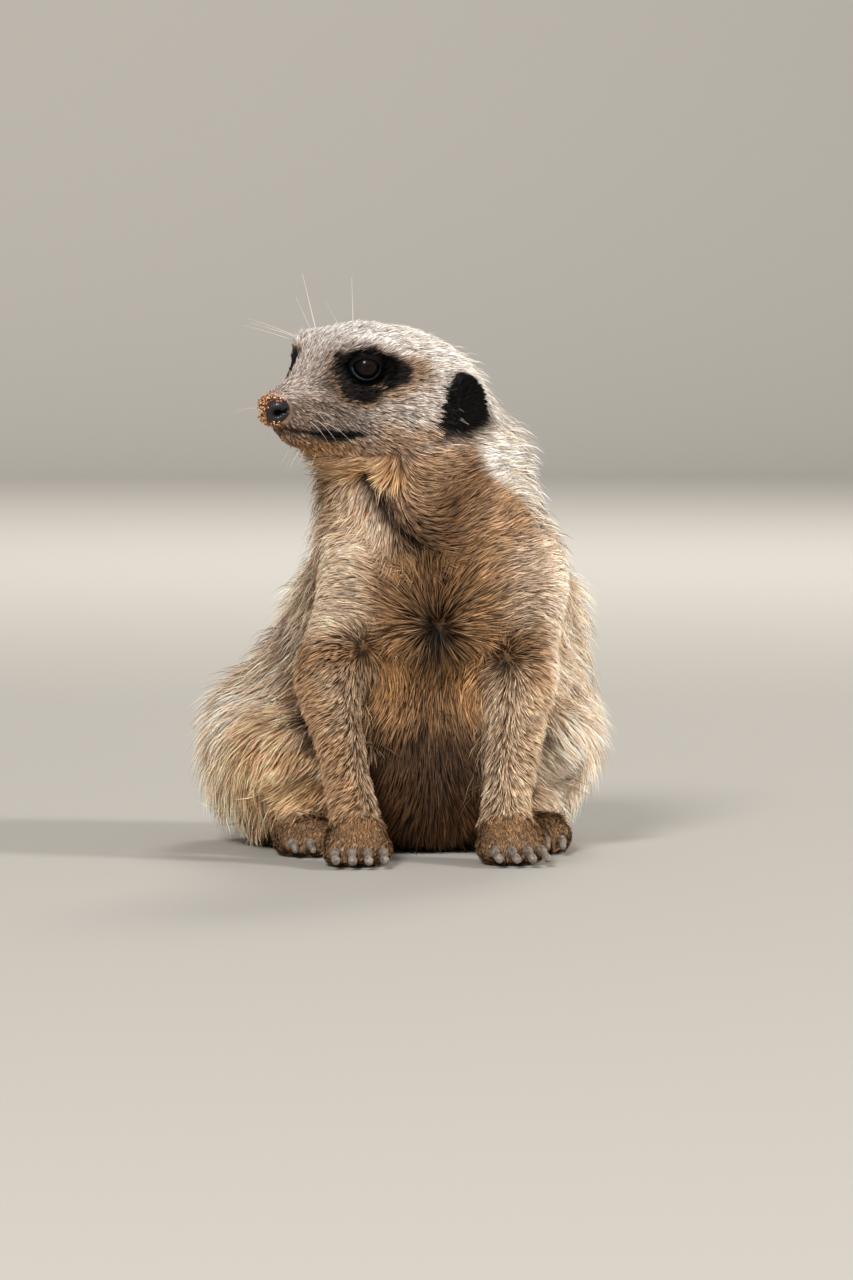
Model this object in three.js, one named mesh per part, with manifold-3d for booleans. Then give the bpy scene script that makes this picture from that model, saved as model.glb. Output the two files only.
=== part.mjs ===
// A meerkat at life size, sitting on its rump with its forelegs planted between its hind feet and
// its head turned to its right. Millimetres, +Z up. It faces -Y, with its left side at +X.
// The surface is the outer face of the coat. It is the zero level of a distance field made of
// rounded bones and muscles that run smoothly into each other, and it is parted at thin cuts.
import * as THREE from "three";
import { mergeVertices } from "three/addons/utils/BufferGeometryUtils.js";
import Module from "manifold-3d";

const wasm = await Module();
wasm.setup();

// ---------------------------------------------------------------- driving dimensions, in mm

const GAP = 0.3; // left between neighbouring pieces
const CURVED_GAP = 0.5; // the same at a cut that isn't flat
const SIGNS = [1, -1]; // left and right
const BIG = 900; // the side of a cutting block
const UP = new THREE.Vector3(0, 1, 0); // the way along which three.js builds a cylinder

const GRID = { head: 5, neck: 9.5, trunk: 11, leg: 7, foot: 5, cut: 15 }; // net spacing

// The head's own frame has its origin midway between the eyes, its nose towards -Y.
const HEAD_AT = [-30, -16, 152.5];
const HEAD_TURN = { yaw: -57, pitch: -2, roll: 3.5 }; // degrees about Z, X and Y

// The left eye, ear, brow, lip, cheek and so on are given here. The right ones mirror them.
const EYE_RADIUS = 5.6;
const EYE_AT = [12.4, 3, -0.6];
const EAR_AT = [27.2, 32, -11.5];
const EAR_SIZE = { thick: 5.6, wide: 16, tall: 22 };
const NOSE_AT = [0, -23, -14.6];
const NOSE_RADII = [5.2, 4.3, 4.8];
// The tallest bristle of each brow: where it leaves the coat, its way to its tip and its root's radius
const BRISTLE = { at: [9, -0.8, 8.6], way: [3, -3.1, 18], radius: 0.5, sunk: 1.8 };

// The masses of the body. An egg has its middle, its half axes and how many degrees it leans back
// about X. A bar runs between two points, with a radius at each.
const HEAD = {
  braincase: { at: [0, 20, -4.3], radii: [25.6, 27.4, 18.8] },
  forehead: { at: [0, 4, -3.5], radii: [17.5, 15, 11.5], lean: -8 },
  occiput: { at: [0, 33, -10], radii: [23, 14, 17] },
  brow: { from: [9.6, -4.2, 5.2], to: [16, 6, 5.2], radii: [3.5, 3.4] },
  snout: { from: [0, 1, -10.4], to: [0, -21.4, -14.2], radii: [13.2, 5.2] },
  lip: { from: [3.6, -7, -15.6], to: [2.6, -19.6, -16.6], radii: [6.6, 4.4] },
  chin: { from: [0, -2, -21], to: [0, -15.8, -22.4], radii: [8.6, 5.2] },
  cheek: { at: [13.5, 14, -15.5], radii: [13, 18, 13] },
  jaw: { from: [0, 2, -20], to: [0, 20, -20], radii: [10, 13] },
  eyeHollow: { at: [15.8, -3.2, -1], radii: [6.2, 6.6, 5.4] },
};
const NECK = {
  upper: { from: [-8.2, 0.4, 133.5], to: [1.6, 4.6, 112], radii: [20.8, 31] },
  lower: { from: [2.2, 5, 112], to: [6.5, 8, 92], radii: [31.6, 34] },
};
const CHEST = {
  shoulders: { at: [8.5, 10, 86], radii: [38.5, 33, 28], lean: -15 },
  ribs: { at: [9, 35, 67], radii: [46.5, 38, 36], lean: -35 },
  breast: { at: [1, -12, 77], radii: [19, 20, 21] },
};
const BELLY = {
  paunch: { at: [3, 18, 42], radii: [36, 33, 38], lean: -12 },
  groin: { at: [2, 2, 26], radii: [24, 20, 23] },
};
const RUMP = {
  back: { at: [0, 54, 46], radii: [44, 41, 39], lean: -25 },
  seat: { at: [0, 67, 26], radii: [38, 28, 26.6] },
  dockFrom: [0, 84, 17],
  dockRadius: 17,
};

const TOES = 4;
const TOE = { end: 3.6, swept: 2.2, rootHeight: 5.2, rootSpread: 0.75, rootThicker: 0.7 };
// A claw's two lengths, its radius at the root, how far its point curves down, and its seat
const CLAW = { fore: 11, hind: 7, radius: 1.35, drop: 2.6, sunk: 1.6, up: 1 };
const FOREFOOT = { spread: 4.9, reach: 18.5, toe: 3.7, toeLength: 9 };
const HINDFOOT = { spread: 5, reach: 48, toe: 3.9, toeLength: 11 };

// Points of each limb. A foot's frame lies on the floor under the wrist or the heel.
const FORELEG = {
  right: { shoulder: [-17, -5, 84], elbow: [-32, -14, 56], wrist: [-25.5, -34, 15], yaw: -4 },
  left: { shoulder: [29, -5, 84], elbow: [30, -14, 56], wrist: [20.5, -34, 15], yaw: 4 },
};
const FORELEG_RADII = { shoulder: 16, elbow: 9.6, wrist: 7.8 };
const HINDLEG = {
  right: { hip: [-40, 52, 30], knee: [-42, 6, 31], heel: [-40, 34, 9], yaw: 6 },
  left: { hip: [37, 46, 36], knee: [41, 6, 36], heel: [39, 34, 9], yaw: -6 },
};
const HINDLEG_RADII = { hip: [23.5, 36, 30], thigh: 22, knee: 14, heel: 9.5 };

// The tail lies on the floor. Its root is where its middle line leaves the rump.
const TAIL_LENGTH = 205;
const TAIL_ROOT = [0, 106, 10.6];
const TAIL_RADII = { root: 11, tip: 4.4 };
const TAIL_BEND = 34; // how far the tip swings to the left
const TAIL_SUNK = 0.6; // of the coat's lowest part, cut off flat by the floor
const TAIL_ROUNDED = 0.93; // the share of the length after which the tip is rounded

// ---------------------------------------------------------------- colours of the pieces

const COLOURS = {
  cream: "#d9c8a8",
  tan: "#b88f60",
  orangeTan: "#c08a50",
  grey: "#a5937a",
  black: "#1d1713",
  eye: "#1a0f0a",
  claw: "#b9ab98",
};

const FUR = 0.95; // roughness of the coat
const LEATHER = 0.5;
const HORN = 0.45;
const WET = 0.08;

function material(colour, roughness = FUR) {
  return new THREE.MeshStandardMaterial({ color: COLOURS[colour], roughness, metalness: 0 });
}

// ---------------------------------------------------------------- distance fields

const mixed = (a, b, t) => a + (b - a) * t;
const clamped = (t) => Math.min(1, Math.max(0, t));
const between = (a, b, t) => a.map((value, axis) => mixed(value, b[axis], t));
const mirrored = (point, sign) => [sign * point[0], point[1], point[2]];

// An ellipsoid, by its middle, half axes and lean
function egg({ at, radii, lean = 0 }) {
  const angle = THREE.MathUtils.degToRad(lean);
  const [cos, sin] = [Math.cos(angle), Math.sin(angle)];
  return (x, y, z) => {
    const dx = x - at[0];
    const dy = y - at[1];
    const dz = z - at[2];
    const ty = dy * cos + dz * sin;
    const tz = dz * cos - dy * sin;
    const near = Math.hypot(dx / radii[0], ty / radii[1], tz / radii[2]);
    const slope = Math.hypot(dx / radii[0] ** 2, ty / radii[1] ** 2, tz / radii[2] ** 2);
    return slope > 1e-9 ? (near * (near - 1)) / slope : -Math.min(...radii);
  };
}

// A tapered round bar
function bar({ from, to, radii }) {
  const way = to.map((value, axis) => value - from[axis]);
  const square = way.reduce((sum, value) => sum + value * value, 0);
  return (x, y, z) => {
    const p = [x - from[0], y - from[1], z - from[2]];
    const t = clamped((p[0] * way[0] + p[1] * way[1] + p[2] * way[2]) / square);
    const away = Math.hypot(p[0] - way[0] * t, p[1] - way[1] * t, p[2] - way[2] * t);
    return away - mixed(...radii, t);
  };
}

// Shapes run together, with a fillet about k wide
function blend(k, ...fields) {
  return (x, y, z) => {
    let least = fields[0](x, y, z);
    for (let i = 1; i < fields.length; i++) {
      const other = fields[i](x, y, z);
      const h = Math.max(k - Math.abs(least - other), 0) / k;
      least = Math.min(least, other) - (h * h * k) / 4;
    }
    return least;
  };
}

// The first shape less a soft hollow
function hollowed(k, field, hollow) {
  return (x, y, z) => {
    const [a, b] = [field(x, y, z), -hollow(x, y, z)];
    const h = Math.max(k - Math.abs(a - b), 0) / k;
    return Math.max(a, b) + (h * h * k) / 4;
  };
}

// A field seen from a frame that lies in the world by the matrix given
function seenFrom(matrix, field) {
  const e = matrix.elements;
  return (x, y, z) =>
    field(
      e[0] * x + e[4] * y + e[8] * z + e[12],
      e[1] * x + e[5] * y + e[9] * z + e[13],
      e[2] * x + e[6] * y + e[10] * z + e[14],
    );
}

// ---------------------------------------------------------------- the head, in its own frame

const headFrame = new THREE.Group();
headFrame.position.set(...HEAD_AT);
headFrame.rotation.set(
  THREE.MathUtils.degToRad(HEAD_TURN.pitch),
  THREE.MathUtils.degToRad(HEAD_TURN.roll),
  THREE.MathUtils.degToRad(HEAD_TURN.yaw),
  "ZXY",
);
headFrame.updateMatrixWorld(true);

const flipped = (mass) => ({
  ...mass,
  ...(mass.at && { at: mirrored(mass.at, -1) }),
  ...(mass.from && { from: mirrored(mass.from, -1), to: mirrored(mass.to, -1) }),
});
const eggPair = (k, mass) => blend(k, egg(mass), egg(flipped(mass)));
const barPair = (k, mass) => blend(k, bar(mass), bar(flipped(mass)));

function skull() {
  const cranium = blend(9, egg(HEAD.braincase), egg(HEAD.forehead), egg(HEAD.occiput));
  const muzzle = blend(5, bar(HEAD.snout), barPair(5, HEAD.lip), bar(HEAD.chin));
  const cheeks = blend(6, eggPair(6, HEAD.cheek), bar(HEAD.jaw));
  const whole = blend(6, cranium, muzzle, cheeks, barPair(3, HEAD.brow));
  return hollowed(3.4, whole, eggPair(1, HEAD.eyeHollow));
}

// ---------------------------------------------------------------- the body, in the world

const headMatrix = headFrame.matrixWorld;
const headInWorld = seenFrom(headMatrix.clone().invert(), skull());
const neckField = blend(14, bar(NECK.upper), bar(NECK.lower));
const chestField = blend(16, egg(CHEST.shoulders), egg(CHEST.ribs), egg(CHEST.breast));
const bellyField = blend(14, egg(BELLY.paunch), egg(BELLY.groin));
const dock = { from: RUMP.dockFrom, to: TAIL_ROOT, radii: [RUMP.dockRadius, TAIL_RADII.root] };
const rumpField = blend(10, egg(RUMP.back), egg(RUMP.seat), bar(dock));

function tailThickness(t) {
  return mixed(TAIL_RADII.root, TAIL_RADII.tip, clamped(t) ** 0.8);
}

function tailPoint(t) {
  const height = tailThickness(t) - TAIL_SUNK;
  return [TAIL_ROOT[0] + TAIL_BEND * t * t, TAIL_ROOT[1] + TAIL_LENGTH * t, height];
}

// A bar of round sections along the tail's middle line, from inside the rump to the tip
function tailShape() {
  const bent = new THREE.CylinderGeometry(1, 1, 1, 10, 13);
  const position = bent.attributes.position;
  for (let i = 0; i < position.count; i++) {
    const t = mixed(-0.04, 1, 0.5 + position.getY(i));
    const [x, y, z] = tailPoint(t);
    const towardsTip = clamped((t - TAIL_ROUNDED) / (1 - TAIL_ROUNDED));
    const radius = tailThickness(t) * Math.max(0.15, Math.sqrt(1 - towardsTip ** 2));
    position.setXYZ(i, x + position.getX(i) * radius, y, z + position.getZ(i) * radius);
  }
  return bent;
}

// ---------------------------------------------------------------- the limbs

// Where the middle of a foot's toe ends, in the foot's frame: x across, y forwards is negative
function toeTip(index, foot) {
  const across = index - (TOES - 1) / 2;
  return [across * foot.spread, -foot.reach + Math.abs(across) * TOE.swept, TOE.end];
}

function footFrame(at, yaw) {
  const frame = new THREE.Group();
  frame.position.set(at[0], at[1], 0);
  frame.rotation.z = THREE.MathUtils.degToRad(yaw);
  frame.updateMatrixWorld(true);
  return frame;
}

function toes(foot) {
  const bars = [];
  for (let i = 0; i < TOES; i++) {
    const to = toeTip(i, foot);
    const from = [to[0] * TOE.rootSpread, to[1] + foot.toeLength, TOE.rootHeight];
    bars.push(bar({ from, to, radii: [foot.toe + TOE.rootThicker, foot.toe] }));
  }
  return blend(1.6, ...bars);
}

function forefootShape() {
  const pastern = bar({ from: [0, 0, 13], to: [0, -7, 6.4], radii: [8, 7] });
  const pad = egg({ at: [0, -8, 5.2], radii: [9.6, 9, 6.4] });
  return blend(5, pastern, pad, toes(FOREFOOT));
}

function hindfootShape() {
  const ball = -HINDFOOT.reach + 14;
  const sole = bar({ from: [0, 0, 7.6], to: [0, ball, 6.2], radii: [8.4, 7.6] });
  const pad = egg({ at: [0, ball, 5.6], radii: [10.4, 11, 6.6] });
  return blend(5, sole, pad, toes(HINDFOOT));
}

function forelegShape({ shoulder, elbow, wrist }) {
  const radii = FORELEG_RADII;
  const upperArm = bar({ from: shoulder, to: elbow, radii: [radii.shoulder, radii.elbow] });
  const forearm = bar({ from: elbow, to: wrist, radii: [radii.elbow, radii.wrist] });
  return blend(7, upperArm, forearm);
}

function hindlegShape({ hip, knee, heel }) {
  const radii = HINDLEG_RADII;
  const haunch = egg({ at: hip, radii: radii.hip });
  const thigh = bar({ from: between(hip, knee, 0.4), to: knee, radii: [radii.thigh, radii.knee] });
  const shank = bar({ from: knee, to: heel, radii: [radii.knee, radii.heel] });
  return blend(8, blend(10, haunch, thigh), shank);
}

function limbs(side) {
  const fore = FORELEG[side];
  const hind = HINDLEG[side];
  const forefoot = footFrame(fore.wrist, fore.yaw);
  const hindfoot = footFrame(hind.heel, hind.yaw);
  const placed = (frame, field) => seenFrom(frame.matrixWorld.clone().invert(), field);
  return {
    side,
    forefoot,
    hindfoot,
    foreleg: forelegShape(fore),
    forefootField: placed(forefoot, forefootShape()),
    hindleg: hindlegShape(hind),
    hindfootField: placed(hindfoot, hindfootShape()),
  };
}

const SIDES = ["left", "right"].map(limbs);

const trunkField = blend(12, chestField, bellyField, rumpField);

const torsoField = blend(10, blend(12, headInWorld, neckField), trunkField);
const wholeForeleg = (limb) => blend(4, limb.foreleg, limb.forefootField);
const wholeHindleg = (limb) => blend(5, limb.hindleg, limb.hindfootField);
const fleshWith = (...legs) => blend(7, torsoField, ...legs);
const fleshField = fleshWith(...SIDES.map(wholeForeleg), ...SIDES.map(wholeHindleg));

// ---------------------------------------------------------------- from a field to a closed mesh

// A cell's corners, numbered by bits, and the twelve edges between them
const CORNERS = [0, 1, 2, 3, 4, 5, 6, 7].map((n) => [n & 1, (n >> 1) & 1, (n >> 2) & 1]);
const EDGES = CORNERS.flatMap((_, n) => [1, 2, 4].filter((bit) => !(n & bit)).map((bit) => [n, n | bit]));

function slopeOf(field, p) {
  const h = 0.05;
  const value = field(...p);
  return [0, 1, 2].map((axis) => (field(...p.map((v, i) => (i === axis ? v + h : v))) - value) / h);
}

// Pulls a point onto the zero level, by its slope there
function settled(field, point) {
  let p = point;
  for (let i = 0; i < 3; i++) {
    const slope = slopeOf(field, p);
    const square = slope.reduce((sum, s) => sum + s * s, 0);
    if (square < 1e-6) break;
    const step = THREE.MathUtils.clamp(field(...p), -1.5, 1.5) / Math.max(square, 0.2);
    p = p.map((value, axis) => value - step * slope[axis]);
  }
  return p;
}

// Calls visit for every point of a grid
function overGrid(count, visit) {
  for (let k = 0; k < count[2]; k++) {
    for (let j = 0; j < count[1]; j++) {
      for (let i = 0; i < count[0]; i++) visit(i, j, k);
    }
  }
}

// The middle of the places where the zero level crosses a cell's edges, in shares of the cell
function middleOfCrossings(value) {
  const met = EDGES.filter(([a, b]) => value[a] < 0 !== value[b] < 0);
  const points = met.map(([a, b]) => between(CORNERS[a], CORNERS[b], value[a] / (value[a] - value[b])));
  const total = points.reduce((sum, point) => sum.map((v, axis) => v + point[axis]), [0, 0, 0]);
  return points.length ? total.map((v) => v / points.length) : null;
}

// A net of quads over the zero level inside a box, one vertex to each cell that it crosses. The
// box's walls close it.
function netOver(field, low, high, step) {
  const count = low.map((value, axis) => Math.ceil((high[axis] - value) / step) + 1);
  const cells = count.map((n) => n - 1);
  const at = (i, j, k) => (k * count[1] + j) * count[0] + i;
  const place = (i, j, k) => [low[0] + i * step, low[1] + j * step, low[2] + k * step];
  const values = new Float32Array(count[0] * count[1] * count[2]);
  overGrid(count, (i, j, k) => {
    const wall = [i, j, k].some((n, axis) => n === 0 || n === cells[axis]);
    const value = field(...place(i, j, k));
    values[at(i, j, k)] = wall ? Math.max(value, 0.2 * step) : value;
  });
  const inWall = (p) => p.some((value, axis) => value < low[axis] + step || value > high[axis] - step);
  const vertexOf = new Int32Array(values.length).fill(-1);
  const positions = [];
  overGrid(cells, (i, j, k) => {
    const middle = middleOfCrossings(CORNERS.map(([a, b, c]) => values[at(i + a, j + b, k + c)]));
    if (!middle) return;
    const point = place(i, j, k).map((value, axis) => value + middle[axis] * step);
    vertexOf[at(i, j, k)] = positions.length / 3;
    positions.push(...(inWall(point) ? point : settled(field, point)));
  });
  const faces = [];
  const quad = (a, b, c, d, flip) => faces.push(...(flip ? [a, c, b, a, d, c] : [a, b, c, a, c, d]));
  const crosses = (a, b) => values[a] < 0 !== values[b] < 0;
  overGrid(cells, (i, j, k) => {
    const here = at(i, j, k);
    const flip = values[here] >= 0;
    const v = (di, dj, dk) => vertexOf[at(i - di, j - dj, k - dk)];
    if (crosses(here, at(i + 1, j, k))) quad(v(0, 1, 1), v(0, 0, 1), v(0, 0, 0), v(0, 1, 0), flip);
    if (crosses(here, at(i, j + 1, k))) quad(v(1, 0, 1), v(1, 0, 0), v(0, 0, 0), v(0, 0, 1), flip);
    if (crosses(here, at(i, j, k + 1))) quad(v(1, 1, 0), v(0, 1, 0), v(0, 0, 0), v(1, 0, 0), flip);
  });
  return withFaces(positions, faces);
}

// ---------------------------------------------------------------- solids

function withFaces(positions, faces) {
  const geometry = new THREE.BufferGeometry();
  geometry.setAttribute("position", new THREE.Float32BufferAttribute(positions, 3));
  geometry.setIndex(faces);
  return geometry;
}

function solid(geometry) {
  const bare = geometry.clone();
  bare.deleteAttribute("normal");
  bare.deleteAttribute("uv");
  const merged = mergeVertices(bare, 1e-4);
  const numbers = { numProp: 3, vertProperties: merged.attributes.position.array };
  return new wasm.Manifold(new wasm.Mesh({ ...numbers, triVerts: new Uint32Array(merged.index.array) }));
}

function geometryOf(made) {
  const mesh = made.getMesh();
  const positions = [];
  for (let i = 0; i < mesh.numVert; i++) {
    positions.push(...mesh.vertProperties.subarray(i * mesh.numProp, i * mesh.numProp + 3));
  }
  const geometry = withFaces(positions, [...mesh.triVerts]);
  geometry.computeVertexNormals();
  return geometry;
}

// The largest body of a solid, without the crumbs that a cut can leave
function largest(made) {
  return made.decompose().reduce((best, body) => (body.volume() > best.volume() ? body : best));
}

function meshOf(name, made, look) {
  const mesh = new THREE.Mesh(geometryOf(largest(made)), look);
  mesh.name = name;
  return mesh;
}

// A block whose one face passes through a point. It holds the side that the direction points to.
function blockBeyond(point, direction, shift = 0) {
  const block = new THREE.Mesh(new THREE.BoxGeometry(BIG, BIG, BIG));
  const way = new THREE.Vector3(...direction).normalize();
  block.quaternion.setFromUnitVectors(new THREE.Vector3(0, 0, 1), way);
  block.position.set(...point).addScaledVector(way, BIG / 2 + shift);
  block.updateMatrixWorld(true);
  return solid(block.geometry.applyMatrix4(block.matrixWorld));
}

const belowFloor = blockBeyond([0, 0, 0], [0, 0, -1]);

// A solid without what lies below the floor
function clear(made) {
  return made.subtract(belowFloor);
}

// Both sides of a plane, half the gap away from it
function cutAt(point, direction) {
  const back = direction.map((value) => -value);
  return { beyond: blockBeyond(point, direction, GAP / 2), before: blockBeyond(point, back, GAP / 2) };
}

// A net whose points are moved outwards along the field's slope
function offset(net, field, amount) {
  const made = net.clone();
  const position = made.attributes.position;
  for (let i = 0; i < position.count; i++) {
    const p = [position.getX(i), position.getY(i), position.getZ(i)];
    const slope = slopeOf(field, p);
    const size = Math.hypot(...slope) || 1;
    position.setXYZ(i, ...p.map((value, axis) => value + (slope[axis] / size) * amount));
  }
  return solid(made);
}

// The space nearer to one shape than to the rest: own is what belongs to the shape, and taken is
// what the rest gives up, wider by the gap
function regionOf(shape, rest, box) {
  const field = (x, y, z) => (shape(x, y, z) - rest(x, y, z)) / 2;
  const net = netOver(field, ...box, GRID.cut);
  return { own: offset(net, field, -CURVED_GAP / 2), taken: offset(net, field, CURVED_GAP / 2) };
}

// ---------------------------------------------------------------- where the body is parted

const CUTS = {
  head: cutAt([-6, 1, 131], [-0.2, -0.12, 1]),
  neck: cutAt([4, 4, 103], [0, -0.2, 1]),
  chest: cutAt([0, 24, 60], [0, -0.42, 1]),
  rump: cutAt([0, 52, 40], [0, 1, -0.35]),
  wrist: cutAt([0, -34, 13], [0, 0.4, 1]),
  ankle: cutAt([0, 16, 9], [0, 0.3, 1]),
  tailRoot: cutAt([0, TAIL_ROOT[1] - 4, 12], [0, 1, 0]),
  tailMiddle: cutAt(tailPoint(0.36), [0.12, 1, 0]),
  tailTip: cutAt(tailPoint(0.8), [0.24, 1, 0]),
};

// Lowest and highest corners of the space that each piece is netted in, the head's in its own frame
const BOXES = {
  head: [[-34, -42, -40], [34, 56, 24]],
  neck: [[-48, -44, 90], [58, 54, 146]],
  trunk: [[-78, -56, -10], [78, 120, 120]],
  foreleg: {
    left: [[2, -76, -9], [66, 30, 112]],
    right: [[-66, -76, -9], [2, 30, 112]],
  },
  hindleg: {
    left: [[2, -60, -10], [80, 106, 96]],
    right: [[-80, -60, -10], [2, 106, 96]],
  },
};

// The lowest layer of a leg's box
function footBox([low, high]) {
  return [low, [high[0], Math.min(high[1], 60), 24]];
}

// ---------------------------------------------------------------- eyes, ears, nose and claws

function eyeball(sign, grow = 0) {
  const ball = new THREE.SphereGeometry(EYE_RADIUS + grow, 10, 7);
  return ball.translate(...mirrored(EYE_AT, sign));
}

// A cupped half-moon, its hollow face outwards and a little forwards. Grown, it is the uncupped
// shape that makes room for it.
function ear(sign, grow = 0) {
  const pinna = new THREE.SphereGeometry(1, 12, 8);
  const position = pinna.attributes.position;
  for (let i = 0; i < position.count; i++) {
    const [out, back, up] = [position.getX(i), position.getY(i), position.getZ(i)];
    const cup = out > 0 && !grow ? 0.95 * Math.max(0, 1 - (back * back + up * up) * 1.05) : 0;
    const rim = 1 + 0.12 * Math.max(0, back);
    position.setXYZ(
      i,
      (out - cup * 1.25) * (EAR_SIZE.thick / 2 + grow) + Math.max(0, back) * 1.6,
      back * rim * (EAR_SIZE.wide / 2 + grow),
      up * (EAR_SIZE.tall / 2 + grow) - 1.2 * back,
    );
  }
  if (sign < 0) pinna.scale(-1, 1, 1);
  pinna.rotateZ(THREE.MathUtils.degToRad(sign * 14));
  pinna.translate(...mirrored(EAR_AT, sign));
  return flippedIfInsideOut(pinna, sign);
}

// Mirroring turns faces inwards, so their corners are taken in the other order
function flippedIfInsideOut(geometry, sign) {
  if (sign > 0) return geometry;
  const index = geometry.index;
  for (let i = 0; i < index.count; i += 3) {
    const second = index.getX(i + 1);
    index.setX(i + 1, index.getX(i + 2));
    index.setX(i + 2, second);
  }
  return geometry;
}

function nosePad(grow = 0) {
  const pad = new THREE.SphereGeometry(1, 12, 7);
  const position = pad.attributes.position;
  for (let i = 0; i < position.count; i++) {
    const [x, y, z] = [position.getX(i), position.getY(i), position.getZ(i)];
    const nostril = Math.exp(-((Math.abs(x) - 0.55) ** 2 + (z + 0.15) ** 2) * 14);
    const groove = Math.exp(-x * x * 60) * clamped(-z);
    const dent = y < 0 ? 1 - 0.22 * nostril - 0.1 * groove : 1;
    const [wide, deep, tall] = NOSE_RADII.map((radius) => radius + grow);
    position.setXYZ(i, x * wide, y * dent * deep, z * tall);
  }
  return pad.translate(...NOSE_AT);
}

// A stiff tapered hair that stands on the brow. Its root is sunk in the head.
function bristle(sign, grow = 0) {
  const start = new THREE.Vector3(...mirrored(BRISTLE.at, sign));
  const way = new THREE.Vector3(...mirrored(BRISTLE.way, sign));
  const length = way.length() + BRISTLE.sunk + grow;
  const cone = new THREE.CylinderGeometry(0.2 + grow, BRISTLE.radius + grow, length, 5, 2);
  cone.translate(0, length / 2 - BRISTLE.sunk - grow, 0);
  cone.applyQuaternion(new THREE.Quaternion().setFromUnitVectors(UP, way.normalize()));
  return cone.translate(start.x, start.y, start.z);
}

// A claw from its root along -Y, curving down to its point
function claw(length, grow = 0) {
  const cone = new THREE.ConeGeometry(CLAW.radius + grow, length + grow, 6, 2);
  cone.rotateX(Math.PI);
  cone.translate(0, -(length + grow) / 2 + grow, 0);
  const position = cone.attributes.position;
  for (let i = 0; i < position.count; i++) {
    const along = clamped(-position.getY(i) / length);
    position.setZ(i, position.getZ(i) * 1.25 - CLAW.drop * along * along);
  }
  return cone;
}

// ---------------------------------------------------------------- the pieces

const meerkat = new THREE.Group();
meerkat.add(headFrame);

function moved(geometry, frame) {
  return solid(geometry.applyMatrix4(frame.matrixWorld));
}

function add(frame, name, made, look) {
  const mesh = meshOf(name, made, look);
  mesh.geometry.applyMatrix4(frame.matrixWorld.clone().invert());
  frame.add(mesh);
}

function addHead() {
  const inHead = seenFrom(headMatrix, fleshField);
  let head = moved(netOver(inHead, ...BOXES.head, GRID.head), headFrame).intersect(CUTS.head.beyond);
  for (const sign of SIGNS) {
    const side = sign > 0 ? "left" : "right";
    add(headFrame, `eye_${side}`, moved(eyeball(sign), headFrame), material("eye", WET));
    add(headFrame, `ear_${side}`, moved(ear(sign), headFrame), material("black"));
    add(headFrame, `bristle_${side}`, moved(bristle(sign), headFrame), material("cream"));
    for (const shape of [eyeball, ear, bristle]) head = head.subtract(moved(shape(sign, GAP), headFrame));
  }
  add(headFrame, "nose", moved(nosePad(), headFrame), material("black", LEATHER));
  head = head.subtract(moved(nosePad(GAP), headFrame));
  add(headFrame, "head", head, material("cream"));
}

// A foot with its claws. The claws' frame is the foot's own.
function addFoot(name, foot, frame, made, length) {
  let flesh = made;
  for (let i = 0; i < TOES; i++) {
    const tip = toeTip(i, foot);
    const at = [tip[0], tip[1] - foot.toe + CLAW.sunk, tip[2] + CLAW.up];
    const placed = (grow) => moved(claw(length, grow).translate(...at), frame);
    flesh = flesh.subtract(placed(GAP));
    add(frame, `claw_${name}_${i + 1}`, placed(0), material("claw", HORN));
  }
  meerkat.add(frame);
  add(meerkat, name, flesh, material("tan"));
}

// A leg's flesh, netted in a box without its neighbour
function fleshOf(leg, box, step) {
  return clear(solid(netOver(fleshWith(leg), ...box, step)));
}

const either = (a, b) => (x, y, z) => Math.min(a(x, y, z), b(x, y, z));

// Builds both legs of one side and gives the regions that they take from the trunk
function addLegs(limb) {
  const fore = wholeForeleg(limb);
  const hind = wholeHindleg(limb);
  const foreBox = BOXES.foreleg[limb.side];
  const hindBox = BOXES.hindleg[limb.side];

  const foreRegion = regionOf(fore, either(trunkField, hind), foreBox);
  const foreFlesh = fleshOf(fore, foreBox, GRID.leg).intersect(CUTS.neck.before).intersect(foreRegion.own);
  add(meerkat, `foreleg_${limb.side}`, foreFlesh.intersect(CUTS.wrist.beyond), material("orangeTan"));
  const foreEnd = fleshOf(fore, footBox(foreBox), GRID.foot).intersect(foreRegion.own);
  const forefoot = foreEnd.intersect(CUTS.wrist.before);
  addFoot(`forefoot_${limb.side}`, FOREFOOT, limb.forefoot, forefoot, CLAW.fore);

  const hindRegion = regionOf(hind, either(trunkField, fore), hindBox);
  const hindFlesh = fleshOf(hind, hindBox, GRID.trunk).intersect(hindRegion.own);
  add(meerkat, `hindleg_${limb.side}`, hindFlesh.intersect(CUTS.ankle.beyond), material("orangeTan"));
  const hindEnd = fleshOf(hind, footBox(hindBox), GRID.foot).intersect(hindRegion.own);
  const hindfoot = hindEnd.intersect(CUTS.ankle.before);
  addFoot(`hindfoot_${limb.side}`, HINDFOOT, limb.hindfoot, hindfoot, CLAW.hind);

  return [foreRegion.taken, hindRegion.taken];
}

function addTrunk(taken) {
  const net = solid(netOver(fleshField, ...BOXES.trunk, GRID.trunk));
  let trunk = clear(net).intersect(CUTS.tailRoot.before);
  for (const region of taken) trunk = trunk.subtract(region);
  const neckNet = solid(netOver(fleshField, ...BOXES.neck, GRID.neck));
  const neck = neckNet.intersect(CUTS.head.before).intersect(CUTS.neck.beyond);
  const underEars = SIGNS.reduce((made, sign) => made.subtract(moved(ear(sign, GAP), headFrame)), neck);
  add(meerkat, "neck", underEars, material("cream"));
  const below = trunk.intersect(CUTS.neck.before);
  add(meerkat, "chest", below.intersect(CUTS.chest.beyond), material("tan"));
  const lower = below.intersect(CUTS.chest.before);
  add(meerkat, "belly", lower.intersect(CUTS.rump.before), material("tan"));
  add(meerkat, "rump", lower.intersect(CUTS.rump.beyond), material("grey"));
}

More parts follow.
